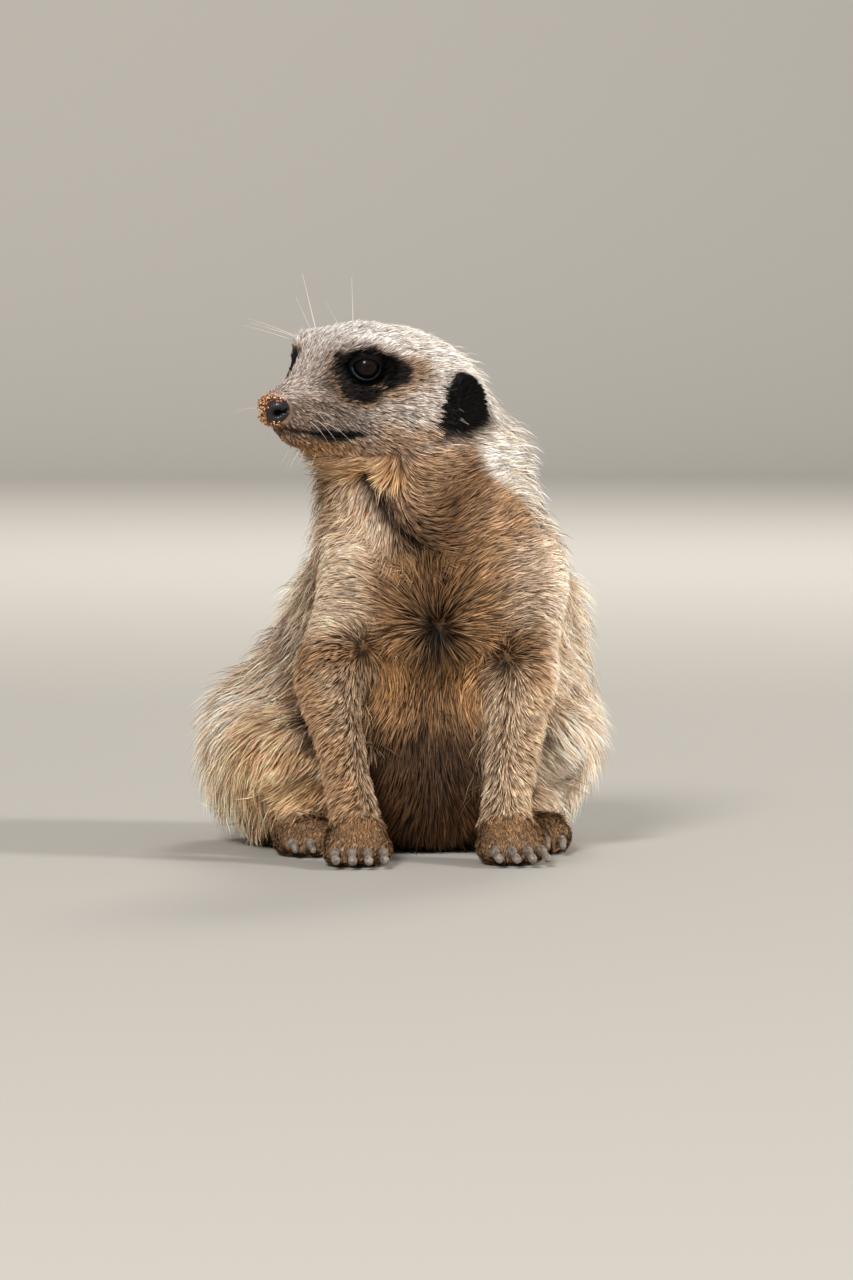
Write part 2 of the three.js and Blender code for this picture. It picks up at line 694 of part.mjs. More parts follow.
function addTail() {
  const tail = clear(solid(tailShape())).intersect(CUTS.tailRoot.beyond);
  const rest = tail.intersect(CUTS.tailMiddle.beyond);
  add(meerkat, "tail_root", tail.intersect(CUTS.tailMiddle.before), material("tan"));
  add(meerkat, "tail_middle", rest.intersect(CUTS.tailTip.before), material("tan"));
  add(meerkat, "tail_tip", rest.intersect(CUTS.tailTip.beyond), material("black"));
}

addHead();
addTrunk(SIDES.flatMap(addLegs));
addTail();

// The origin is under the middle of the model, on the floor.
const whole = new THREE.Box3().setFromObject(meerkat, true);
meerkat.position.set(-(whole.min.x + whole.max.x) / 2, -(whole.min.y + whole.max.y) / 2, -whole.min.z);

export default meerkat;
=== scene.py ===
"""The looks of a still, life-size meerkat: skin, coat, eyes, nose, claws, whiskers and the studio.

Lengths in the tables are millimetres. X runs to the animal's left, Y to its tail and Z up.
"""
import math
from collections import namedtuple

import bmesh
import bpy
import numpy as np
from bpy.props import FloatProperty, FloatVectorProperty, IntProperty, PointerProperty
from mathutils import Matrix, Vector
from mathutils.bvhtree import BVHTree
from mathutils.kdtree import KDTree


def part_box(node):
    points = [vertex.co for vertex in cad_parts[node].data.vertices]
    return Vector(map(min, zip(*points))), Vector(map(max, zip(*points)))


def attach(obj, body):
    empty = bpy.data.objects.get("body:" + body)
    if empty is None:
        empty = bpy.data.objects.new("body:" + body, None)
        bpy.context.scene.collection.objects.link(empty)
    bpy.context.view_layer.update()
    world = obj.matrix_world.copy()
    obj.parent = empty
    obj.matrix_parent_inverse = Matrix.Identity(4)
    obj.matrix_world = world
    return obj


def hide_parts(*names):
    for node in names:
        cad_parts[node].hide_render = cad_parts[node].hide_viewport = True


bl_info = {
    "name": "Meerkat looks",
    "version": (1, 0, 0),
    "blender": (4, 5, 0),
    "location": "View3D > Sidebar > Meerkat",
    "description": "Dresses the meerkat model with skin, fur, eyes and claws",
    "category": "Object",
}

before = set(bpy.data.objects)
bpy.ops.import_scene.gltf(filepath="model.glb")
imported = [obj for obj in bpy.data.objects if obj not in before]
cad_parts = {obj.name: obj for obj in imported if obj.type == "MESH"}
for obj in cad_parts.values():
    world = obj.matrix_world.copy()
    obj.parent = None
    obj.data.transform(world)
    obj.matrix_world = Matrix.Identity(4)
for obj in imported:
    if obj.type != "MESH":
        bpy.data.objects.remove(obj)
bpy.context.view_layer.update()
MM = 0.001  # metres
SEED = 7
QUICK_SHARE = 1.0


# ------------------------------------------------------------------ small tools for numbers


def unit(vectors):
    """Vectors at length one, along the last axis."""
    return vectors / np.maximum(np.linalg.norm(vectors, axis=-1, keepdims=True), 1e-12)


def dot(a, b):
    """The dot product of each pair of rows."""
    return (a * b).sum(-1)


def columns(*numbers):
    """Rows made from columns. A column is an array, or one number for all rows."""
    return np.stack(np.broadcast_arrays(*numbers), axis=1).astype(float)


def fade(value, low, high):
    """0 at low and 1 at high, with soft ends. High may be the smaller of the two."""
    t = np.clip((value - low) / (high - low), 0.0, 1.0)
    return t * t * (3.0 - 2.0 * t)


def near(points, middle, reach):
    """1 at a place, falling to about a third at its reach, which may differ in x, y and z."""
    return np.exp(-(((points - middle) / reach) ** 2).sum(-1))


def from_line(points, corners):
    """The way to each point from the nearest place on a line of several corners, and its length."""
    corners = [np.asarray(corner, float) for corner in corners]
    away = np.zeros_like(points)
    gap = np.full(len(points), np.inf)
    for start, end in zip(corners, corners[1:]):
        way = end - start
        t = np.clip((points - start) @ way / (way @ way), 0.0, 1.0)
        offset = points - start - t[:, None] * way
        far = np.linalg.norm(offset, axis=1)
        closer = far < gap
        away[closer] = offset[closer]
        gap = np.where(closer, far, gap)
    return away, gap


def near_line(points, start, end, reach):
    """1 on a straight line from start to end, falling to about a third at its reach."""
    return ridge(from_line(points, [start, end])[1], reach)


def ridge(distance, reach):
    """1 where a distance is 0, falling to about a third at its reach."""
    return np.exp(-((distance / reach) ** 2))


def mixed(a, b, share):
    """Rows that are a's where the share is 0, and b's where it is 1."""
    return a + (b - a) * np.asarray(share)[..., None]


def waves(points, size, seed):
    """Smooth pseudo-random numbers from about -1 to 1, in blotches about that many mm across."""
    rng = np.random.default_rng(seed)
    total = np.zeros(len(points))
    for _ in range(5):
        way = rng.normal(size=3)
        way *= rng.uniform(0.7, 1.4) * 2.6 / (size * np.linalg.norm(way))
        total += np.sin(points @ way + rng.uniform(0, 2 * math.pi))
    return total / 2.6


def linear(colour):
    """A #rrggbb colour as linear light."""
    parts = np.array([int(colour[i : i + 2], 16) for i in (1, 3, 5)]) / 255
    return np.where(parts <= 0.04045, parts / 12.92, ((parts + 0.055) / 1.055) ** 2.4)


# ------------------------------------------------------------------ places on the animal, in mm


def spot(node, *shares):
    """A point inside a node's box, by its share of the way from the low to the high corner."""
    low, high = (np.array(corner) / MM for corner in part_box(node))
    return low + (high - low) * np.array(shares)


EYES = {side: spot("eye_" + side, 0.5, 0.5, 0.5) for side in ("left", "right")}
EARS = {side: spot("ear_" + side, 0.5, 0.5, 0.5) for side in ("left", "right")}
EYE_RADIUS = float((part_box("eye_left")[1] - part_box("eye_left")[0]).z) / MM / 2
NOSE = spot("nose", 0.5, 0.5, 0.5)
NOSE_SLOPE = math.radians(23.6)  # how far the nose lies below the level of the eyes

WHORL = spot("chest", 0.42, 0.02, 0.385)  # the centre from which the breast hair radiates
ELBOWS = {  # the lesser whorls where the forelegs leave the breast
    "right": spot("foreleg_right", 0.78, 0.45, 0.58),
    "left": spot("foreleg_left", 0.31, 0.48, 0.57),
}
FORK = spot("belly", 0.45, 0.02, 0.48)  # where the belly hair parts to both sides
CREASE = [  # the fold of the throat, from under the jaw down to the whorl
    spot("neck", 0.23, 0.09, 0.50),
    spot("neck", 0.32, 0.05, 0.18),
    spot("chest", 0.38, 0.03, 0.75),
    WHORL,
]
BAND = [  # a darker band to the left of the fold
    spot("neck", 0.63, 0.06, 0.58),
    spot("neck", 0.50, 0.03, 0.22),
    spot("chest", 0.43, 0.02, 0.72),
    WHORL,
]


def head_axes():
    """The head's left, rearward and upward directions, as the rows of a matrix."""
    across = unit(EYES["left"] - EYES["right"])
    to_nose = NOSE - (EYES["left"] + EYES["right"]) / 2
    to_nose = unit(to_nose - across * (to_nose @ across))
    lift = np.cross(across, -to_nose)
    back = -to_nose * math.cos(NOSE_SLOPE) - lift * math.sin(NOSE_SLOPE)
    return np.array([across, back, np.cross(across, back)])


HEAD_AXES = head_axes()
HEAD_AT = (EYES["left"] + EYES["right"]) / 2


def in_head(points):
    """Points as seen from midway between the eyes: left, back and up, in mm."""
    return (points - HEAD_AT) @ HEAD_AXES.T


def from_head(points):
    """Points given as left, back and up of the head's middle, in the model's own frame in mm."""
    return np.asarray(points, float) @ HEAD_AXES + HEAD_AT


EAR_FRONT = in_head(EARS["left"]) + [0, -3.5, 0]  # the middle of the black hair at each ear


# ------------------------------------------------------------------ the coat in each zone

# Which nodes a zone covers, how deep its coat lies, and its tufts: length and width in mm, rise
# from the skin in degrees, how many grow on a square millimetre, and how much they draw together.
ZONES = {
    "head": dict(nodes=["head", "nose", "eye_left", "eye_right"], depth=1.5, length=5.0, width=0.27,
                 rise=25, density=9.5, clump=0.6),
    "ear": dict(nodes=["ear_left", "ear_right"], depth=0.35, length=2.2, width=0.24,
                rise=24, density=7, clump=0.3),
    "neck": dict(nodes=["neck"], depth=2.5, length=7.5, width=0.34, rise=26, density=5.1, clump=0.62),
    "chest": dict(nodes=["chest"], depth=2.8, length=8.6, width=0.355, rise=26, density=4.5, clump=0.66),
    "belly": dict(nodes=["belly"], depth=2.9, length=11, width=0.385, rise=21, density=3.4, clump=0.68),
    "rump": dict(nodes=["rump"], depth=3.6, length=9.5, width=0.45, rise=23, density=2.9, clump=0.55),
    "foreleg": dict(nodes=["foreleg_left", "foreleg_right"], depth=1.9, length=5.2, width=0.30,
                    rise=24, density=5.7, clump=0.58),
    "hindleg": dict(nodes=["hindleg_left", "hindleg_right"], depth=4.6, length=9.0, width=0.40,
                    rise=21, density=3.4, clump=0.45),
    "foot": dict(nodes=["forefoot_left", "forefoot_right", "hindfoot_left", "hindfoot_right"],
                 depth=0.8, length=3.2, width=0.30, rise=18, density=4.6, clump=0.35),
    "tail": dict(nodes=["tail_root", "tail_middle"], depth=1.4, length=6.5, width=0.50,
                 rise=16, density=2.1, clump=0.45),
    "tip": dict(nodes=["tail_tip"], depth=1.2, length=7, width=0.44, rise=18, density=3.4, clump=0.5),
}
ZONE_NAMES = list(ZONES)
FLESH = [node for zone in ZONES.values() for node in zone["nodes"]]
KEPT_APART = {"eye_left", "eye_right", "nose"}  # they fill their sockets in the skin, and stay pieces


def zone_value(zones, key):
    """A zone's number at each point, by the zones' shares there."""
    return zones @ np.array([ZONES[name][key] for name in ZONE_NAMES], float)


def share_of(zones, *names):
    """The share of the named zones at each point, together."""
    return sum(zones[:, ZONE_NAMES.index(name)] for name in names)


def from_crease(points, corners):
    """The way and the distance to points from a line on the throat, as seen from in front."""
    ahead = np.array([1.0, 0.0, 1.0])
    away, gap = from_line(points * ahead, [corner * ahead for corner in corners])
    return away, gap + 50 * fade(points[:, 1], WHORL[1] + 24, WHORL[1] + 34)


def bareness(points):
    """How short the hair of the face is: 1 at the eyelids, nose and lips, 0 behind the cheeks."""
    h = in_head(points)
    eyes = sum(near(points, eye, 8.5) for eye in EYES.values())
    muzzle = fade(h[:, 1], 12, -22)
    return np.clip(np.maximum(eyes * 1.1, muzzle), 0, 1)


# ------------------------------------------------------------------ the markings

# The colour of each marking, at the tips of the hair and at its roots
COLOURS = {
    "cream": ("#fdf6ec", "#bfab92"),
    "crown": ("#fff8f0", "#9a8170"),
    "temple": ("#b99a7e", "#412b1e"),
    "bridge": ("#fdf2ea", "#ab9484"),
    "muzzle": ("#b8a292", "#261a14"),
    "cheek": ("#f2e4d8", "#685242"),
    "jowl": ("#dfbda0", "#6e482f"),
    "chin": ("#d6a67a", "#6a4527"),
    "throat": ("#ffe8cd", "#dcb088"),
    "collar": ("#d6ad88", "#553a24"),
    "band": ("#7f5a38", "#221006"),
    "breast": ("#c0956b", "#2f190c"),
    "stripe": ("#7f5a35", "#1a0e05"),
    # pale shoulder hair, made paler still as a painted highlight
    "shoulder": ("#fbe2c6", "#977351"),
    "arm": ("#caad8f", "#50361e"),
    "sunny_arm": ("#ecd0b0", "#7c5a3a"),
    "orange": ("#dda872", "#6d4624"),
    # painted shade: the hair under the breast and low on the belly, far darker than its own orange-tan
    "armpit": ("#573719", "#120902"),
    # the belly's own dark brown, darkened further as painted shade
    "belly": ("#5c4028", "#100904"),
    "thigh": ("#ffeedd", "#f3d3ae"),
    "sand": ("#ffe0b4", "#d8a870"),
    "honey": ("#fbcc98", "#bc8854"),
    "frost": ("#f0d9c0", "#86674b"),
    "ash": ("#e2cbb3", "#6f5641"),
    "grizzle": ("#e3cba9", "#513a26"),
    "bar": ("#544133", "#1a120d"),
    # pale flank hair, brought near white as painted sunlight
    "fringe": ("#ffeedc", "#f2cda6"),
    "foot": ("#bb9773", "#573b26"),
    "tail": ("#d6af80", "#6a4a2c"),
    "black": ("#26201e", "#0a0706"),
    "ink": ("#0f0c0a", "#050404"),
    "lip": ("#3d2e25", "#1a120e"),
    "lid": ("#0f0e0f", "#0f0e0f"),
    "rim": ("#485458", "#485458"),
}


class Paint:
    """Tip and root colours at many points, laid on in turn through masks."""

    def __init__(self, count, hair, name):
        """Starts with one of the settings' hair colours all over."""
        self.hair = hair
        self.tip = np.tile(self.colour(name, "tip"), (count, 1))
        self.root = np.tile(self.colour(name, "root"), (count, 1))

    def colour(self, name, end):
        """A colour of the settings, as linear light."""
        return np.array(getattr(self.hair, f"{name}_{end}"))

    def lay(self, name, mask):
        """Lays a colour over the others, as far as the mask covers them."""
        mask = np.clip(mask, 0, 1)
        self.tip = mixed(self.tip, self.colour(name, "tip"), mask)
        self.root = mixed(self.root, self.colour(name, "root"), mask)


def eye_patch(h):
    """How far inside the dark patch round each eye, in mm: it is blunt in front and has a lobe below."""
    back, up = h[:, 1] + 2.6, h[:, 2]
    power = np.where(back < 0, 2.7, np.where(up > 0, 1.65, 2.6))
    height = np.where(up > 0, np.where(h[:, 0] > 0, 5.7, 5.0), 6.7)
    long = np.where(back < 0, np.where(h[:, 0] > 0, 8.0, 13.0) + 0.12 * np.clip(-up, 0, 6), 10.4)
    main = 1 - (np.abs(back / long) ** power + np.abs(up / height) ** power) ** (1 / power)
    low = 1 - np.hypot((back + 3.2) / 4.6, (up + 6.0) / 4.6)
    edge = np.maximum(main * 6.5, low * 4.5) + 0.35 * waves(h, 1.6, 41) + 0.30 * waves(h, 0.7, 43)
    on_bridge = (h[:, 0] < 5.5) & (h[:, 0] > -4.2)
    return edge - 100 * on_bridge


def lip_height(back):
    """How high the line of the mouth runs, at a distance back from the eyes."""
    return np.interp(back, [-28, -24, -18, -11, -6, -3.5], [-17.4, -18.2, -19.8, -20.6, -20.3, -19.6])


def paint_head(coat, points, zones):
    """The pale head, the grey muzzle, the lips, the patches round the eyes and the black ears."""
    h = in_head(points)
    back, up = h[:, 1], h[:, 2]
    flat = h * [0, 1, 1]
    head = share_of(zones, "head")
    blur = waves(points, 5, 11)
    coat.lay("crown", head)
    coat.lay("cream", head * fade(up + blur, 2, 8) * fade(back, 9, 17))
    coat.lay("cheek", head * fade(up + blur, 0, -5) * fade(back, -11, -3) * fade(back, 33, 27))
    coat.lay("bridge", head * fade(back + blur, -3, -12))
    coat.lay("temple", head * near(flat, (0, 10, -1.5), (1, 6.0, 5.0)) * 1.2)
    coat.lay("temple", head * near(flat, (0, 2.0, -8.0), (1, 5.5, 2.6)))
    coat.lay("muzzle", head * fade(back, -1, -11) * fade(up + 0.5 * blur, -7.5, -11.5))
    coat.lay("jowl", head * fade(up + 1.5 * blur, -14, -21) * fade(back, -8, 2) * fade(back, 30, 25))
    coat.lay("cream", head * fade(back, 28, 32))
    coat.lay("temple", head * near(flat, (0, -16, -8.5), (1, 7, 4.0)) * 0.35)
    lip = lip_height(back)
    coat.lay("chin", head * fade(up - lip, -0.8, -2.8) * fade(back, 0, -6) * 0.85)
    coat.lay("honey", head * fade(up + 0.8 * blur, -24.5, -27.5) * fade(back, 6, -1) * 0.8)
    thick = 0.25 + 0.95 * fade(back, -19, -12) * fade(back, -4, -8)
    line = fade(np.abs(up - lip - 0.1) + 0.35 * blur, thick + 0.8, thick - 0.3) * fade(back, -3.5, -6)
    coat.lay("lip", head * line)
    coat.lay("black", head * line * fade(back, -20, -14))
    before = near(flat, (0, -8.3, -4.6), (1, 6.0, 4.4)) * fade(h[:, 0], 0, 5)
    coat.lay("temple", head * before * 1.2)
    coat.lay("black", head * before * 1.1)
    patch = eye_patch(h)
    below = np.maximum(fade(up, 0, -4), fade(back, -9, -12))
    coat.lay("temple", head * fade(patch, -2.8, -0.6) * 0.7 * below)
    coat.lay("temple", head * fade(patch, -1.3, -0.2) * 0.75)
    coat.lay("black", head * fade(patch, -0.7, 0.6))
    coat.lay("temple", head * near(points, NOSE + HEAD_AXES[1] * 3 - HEAD_AXES[2] * 2.5, 6.5) * 0.9)
    coat.lay("ink", head * ear_front(h) + share_of(zones, "ear") * 1.3)
    paint_lids(coat, points)


def paint_lids(coat, points):
    """The bare skin of the lids: dusky, with painted shade along the crease above the upper lid and a
    blue-grey rim below.
    """
    for side, centre in EYES.items():
        a, v, w = lid_place(points - centre, side)
        front = fade(w, -1, 1.5)
        coat.lay("lid", front * fade(a, 1.75, 1.55))
        # painted shade in the crease that shape_lids sinks above the upper lid
        coat.lay("black", front * near(a[:, None], 1.50, 0.07) * (v > 0))
        ahead = 0.30 + 0.70 * fade((points - centre) @ eye_frame(side)[0], 0.5, -2.5)
        coat.lay("rim", front * near(a[:, None], 1.08, 0.06) * fade(v, 0.1, -1.0) * ahead * 0.8)


def ear_front(h):
    """The black hair on the head in front of the opening of each ear."""
    place = (h - EAR_FRONT) * [0, 1, 1]
    place[:, 1] -= 0.20 * place[:, 2]
    height = np.where(place[:, 2] < -1.9, 13.8, 11.4)
    edge = np.hypot(place[:, 1] / 8.0, (place[:, 2] + 1.9) / height) + 0.16 * waves(h, 1.8, 42)
    return fade(edge, 1.15, 0.85) * fade(place[:, 1] + np.minimum(place[:, 2] + 6, 0), 5, 1)


def paint_neck(coat, points, zones):
    """The pale throat, the tawny collar and band beside it, and the grey nape."""
    h = in_head(points)
    side_x = points[:, 0] - CREASE[1][0]
    height = points[:, 2]
    blur = 2.0 * waves(points, 9, 12)
    front = fade(points[:, 1], EARS["left"][1] + 22, EARS["left"][1] + 2)
    upper = share_of(zones, "neck") + share_of(zones, "head") * fade(h[:, 2] + 0.6 * blur, -17, -25)
    coat.lay("collar", upper * front)
    coat.lay("throat", upper * front * fade(side_x + blur, 2, -3))
    jaw = CREASE[0]
    edge = jaw[0] + np.interp(height - jaw[2], [-9, 0, 7, 13], [9, 8, 7, 3])
    glow = fade(height + 0.5 * blur, jaw[2] - 4, jaw[2] + 1) * fade(points[:, 0], edge + 4, edge - 3)
    coat.lay("honey", upper * front * glow * 0.9)
    coat.lay("band", ridge(from_crease(points, BAND)[1], 8.5) * front * fade(height, 70, 84) * 0.75)
    # the pale nape runs down behind the ear to the left shoulder
    edge = WHORL[0] + np.interp(height, [73, 93, 104, 115, 125, 140], [41, 36, 29, 19, 11, 5])
    front_or_side = fade(points[:, 1], WHORL[1] + 85, WHORL[1] + 60)
    nape = fade(points[:, 0] + 0.7 * blur, edge - 2, edge + 2) * fade(height, 80, 90)
    nape = nape * share_of(zones, "neck", "chest") * front_or_side
    coat.lay("ash", nape)
    coat.lay("cream", nape * fade(height + blur, 96, 112))
    coat.lay("cream", share_of(zones, "head") * fade(h[:, 1], 27, 33))
    # seen from behind, the back of the head and the nape are greyer
    behind = fade(points[:, 1] + blur, EARS["left"][1] + 16, EARS["left"][1] + 30)
    coat.lay("ash", share_of(zones, "head", "neck") * behind * (0.55 + 0.25 * waves(points, 3, 19)))


def paint_trunk(coat, points, zones):
    """The breast and shoulders, the dark belly with painted shade under the breast and low down, and the
    orange hair inside the elbows.
    """
    x, y, z = points.T
    middle = WHORL[0]
    blur = 2.2 * waves(points, 9, 13)
    front = fade(y, WHORL[1] + 52, WHORL[1] + 30)
    chest = share_of(zones, "chest", "foreleg") * front
    coat.lay("breast", chest)
    # the right shoulder: pale hair, and paler still as a painted highlight
    coat.lay("shoulder", chest * fade(x + blur, middle - 12, middle - 23) * fade(z, 62, 74) * 0.9)
    coat.lay("ash", chest * fade(x + blur, middle + 13, middle + 27) * fade(z, 64, 78) * 0.72)
    coat.lay("throat", chest * fade(z + blur, 88, 98) * fade(x, middle - 8, middle - 16))
    coat.lay("belly", share_of(zones, "belly"))
    # painted shade under the breast, between the forelegs
    under = near(points, (WHORL + FORK) / 2, (30, 30, 22)) * front
    coat.lay("armpit", under * fade(z, WHORL[2] + 3, WHORL[2] - 5) * 0.6)
    for elbow in ELBOWS.values():
        inside = elbow + np.array([(WHORL[0] - elbow[0]) * 0.42, 4.0, -7.5])
        coat.lay("orange", near(points, inside, (7.6, 16, 9.5)) * front * 0.85)
    coat.lay("stripe", near_line(points, WHORL + [0, 2, -4], FORK + [0, 2, 0], 5.0) * front)
    # lower down the belly is darker: its own colour again, then painted shade towards the floor
    coat.lay("belly", share_of(zones, "belly") * fade(z + blur, 54, 36))
    coat.lay("armpit", share_of(zones, "belly") * fade(z + blur, 30, 14) * 0.5)


def paint_legs(coat, points, zones):
    """The forelegs, warmer on the outside, the pale thighs and the brown feet."""
    x, y, z = points.T
    blur = 1.5 * waves(points, 8, 14)
    fore = share_of(zones, "foreleg") + share_of(zones, "foot") * fade(y, WHORL[1] + 6, WHORL[1])
    low = fade(z, 64, 54)
    for side, edges in (("left", [-3.4, 0.6, 3.0]), ("right", [1.4, 5.9, 9.4])):
        sign = 1 if side == "left" else -1
        own = fade(sign * (x - WHORL[0]), 4, 8) * fore * low
        coat.lay("arm", own)
        from_elbow = sign * (x - ELBOWS[side][0])
        outer = fade(from_elbow - np.interp(z, [20, 43, 55], edges) + blur, 1.5, 6.0)
        coat.lay("orange", own * outer * 0.45)
    lit = fade(x, WHORL[0] + 8, WHORL[0] + 14) * fade(x, 42, 34) * fade(z, 58, 46)
    coat.lay("sunny_arm", fore * low * lit * 0.78)
    hind = share_of(zones, "hindleg")
    top = fade(z + 1.5 * blur, 36, 52) * fade(y, WHORL[1] + 70, WHORL[1] + 92) * fade(x, 0, -10)
    coat.lay("thigh", hind * (1 - 0.6 * top))
    coat.lay("sand", hind * fade(z + blur, 40, 20) * 0.6)
    knee = fade(y + blur, WHORL[1] + 57, WHORL[1] + 47) * fade(x, 0, -10)
    coat.lay("honey", hind * knee * (0.35 + 0.35 * fade(z, 52, 36)))
    coat.lay("honey", hind * fade(x + blur, 47, 39) * fade(x, 0, 10) * fade(z + blur, 34, 20) * 0.5)
    feet = share_of(zones, "foot")
    coat.lay("foot", feet)
    coat.lay("orange", feet * fade(z + blur, 8, 13) * 0.35)


BAR_SPACING = 11.0  # mm from one dark bar of the back to the next


def paint_back(coat, points, zones):
    """The grizzled back with its dark bars, and the frosted flanks."""
    x, y, z = points.T
    blur = 2.5 * waves(points, 10, 15)
    rear = share_of(zones, "chest", "rump", "belly", "neck")
    rear = rear + share_of(zones, "hindleg") * (0.1 + 0.4 * fade(y, WHORL[1] + 62, WHORL[1] + 84))
    behind = fade(y + blur, WHORL[1] + 26, WHORL[1] + 48)
    high = fade(z + blur, 44, 60) + fade(y, WHORL[1] + 96, WHORL[1] + 112)
    back = rear * behind * np.clip(high, 0, 1)
    coat.lay("grizzle", back)
    # dark bars across the rear of the back, as waves of the distance along it
    along = (y - WHORL[1]) * 0.72 - (z - WHORL[2]) * 0.62
    phase = along / BAR_SPACING * 2 * math.pi + 0.8 * waves(points, 16, 16)
    stripe = fade(np.sin(phase) + 0.25 * blur / 2.5, 0.15, 0.75)
    across = x - WHORL[0]
    middle = fade(np.abs(across), 46, 26)
    span = fade(along, 22, 34) * fade(z, 16, 26)
    coat.lay("bar", back * stripe * middle * span * 0.75)
    # pale hair at the edge of the left flank, made paler still by painted sunlight, and a frosted strip
    # with dark spots on the right one
    left = fade(across + 1.2 * blur, 30, 41) * fade(y + blur, WHORL[1] + 68, WHORL[1] + 50)
    coat.lay("fringe", share_of(zones, "chest", "foreleg", "hindleg", "belly") * left * 0.95)
    strip = fade(across + blur, -22, -30) * fade(z, 40, 50) * fade(z, 112, 96)
    strip *= fade(y + 0.6 * np.maximum(z - 60, 0) + 0.8 * blur, WHORL[1] + 50, WHORL[1] + 57)
    flank = share_of(zones, "chest", "rump", "belly") + 0.35 * share_of(zones, "hindleg")
    coat.lay("frost", flank * strip)
    spots = strip * fade(waves(points, 7, 18), 0.25, 0.75) * fade(y, WHORL[1] + 52, WHORL[1] + 60)
    coat.lay("bar", share_of(zones, "chest", "rump") * spots * 0.7)


def paint_dark_spots(coat, points):
    """The whorls, where the hair parts down to its dark roots, and the crease of the throat, with painted
    shade in its fold.
    """
    blur = 1 + 0.25 * waves(points, 3, 17)
    coat.lay("bar", near(points, WHORL, (3.6, 8, 5.0)) * 0.75)
    coat.lay("black", near(points, WHORL + [0, 0, 0.5], (1.6, 8, 3.2)) * blur * 1.2)
    for elbow in ELBOWS.values():
        coat.lay("bar", near_line(points, WHORL, elbow, 1.8) * 0.5)
        coat.lay("black", near(points, elbow, (1.6, 7, 1.6)) * blur * 0.8)
    # the crease: dark roots and skin along the parting, and painted shade that deepens where the fold is
    # sunk deeper
    gap = from_crease(points, CREASE)[1]
    deep = fade(points[:, 2], CREASE[2][2] - 8, CREASE[1][2])
    coat.lay("bar", ridge(gap, 3.0) * (0.30 + 0.6 * deep))
    coat.lay("ink", ridge(gap, 1.4) * (0.2 + 1.1 * deep))
    coat.lay("bar", near_line(points, FORK + [0, 0, 10], FORK - [0, 0, 26], 4.5) * 0.8)


def markings(hair, points, zones, rooted=None):
    """The colours of tips and roots at points of the coat, for hair that may be rooted at others."""
    coat = Paint(len(points), hair, "breast")
    coat.lay("tail", share_of(zones, "tail"))
    paint_trunk(coat, points, zones)
    paint_legs(coat, points, zones)
    paint_back(coat, points, zones)
    paint_neck(coat, points, zones)
    paint_head(coat, points, zones)
    paint_dark_spots(coat, points if rooted is None else rooted)
    coat.lay("black", share_of(zones, "tip") * 1.4)
    return coat.tip, coat.root


# ------------------------------------------------------------------ the lie of the coat


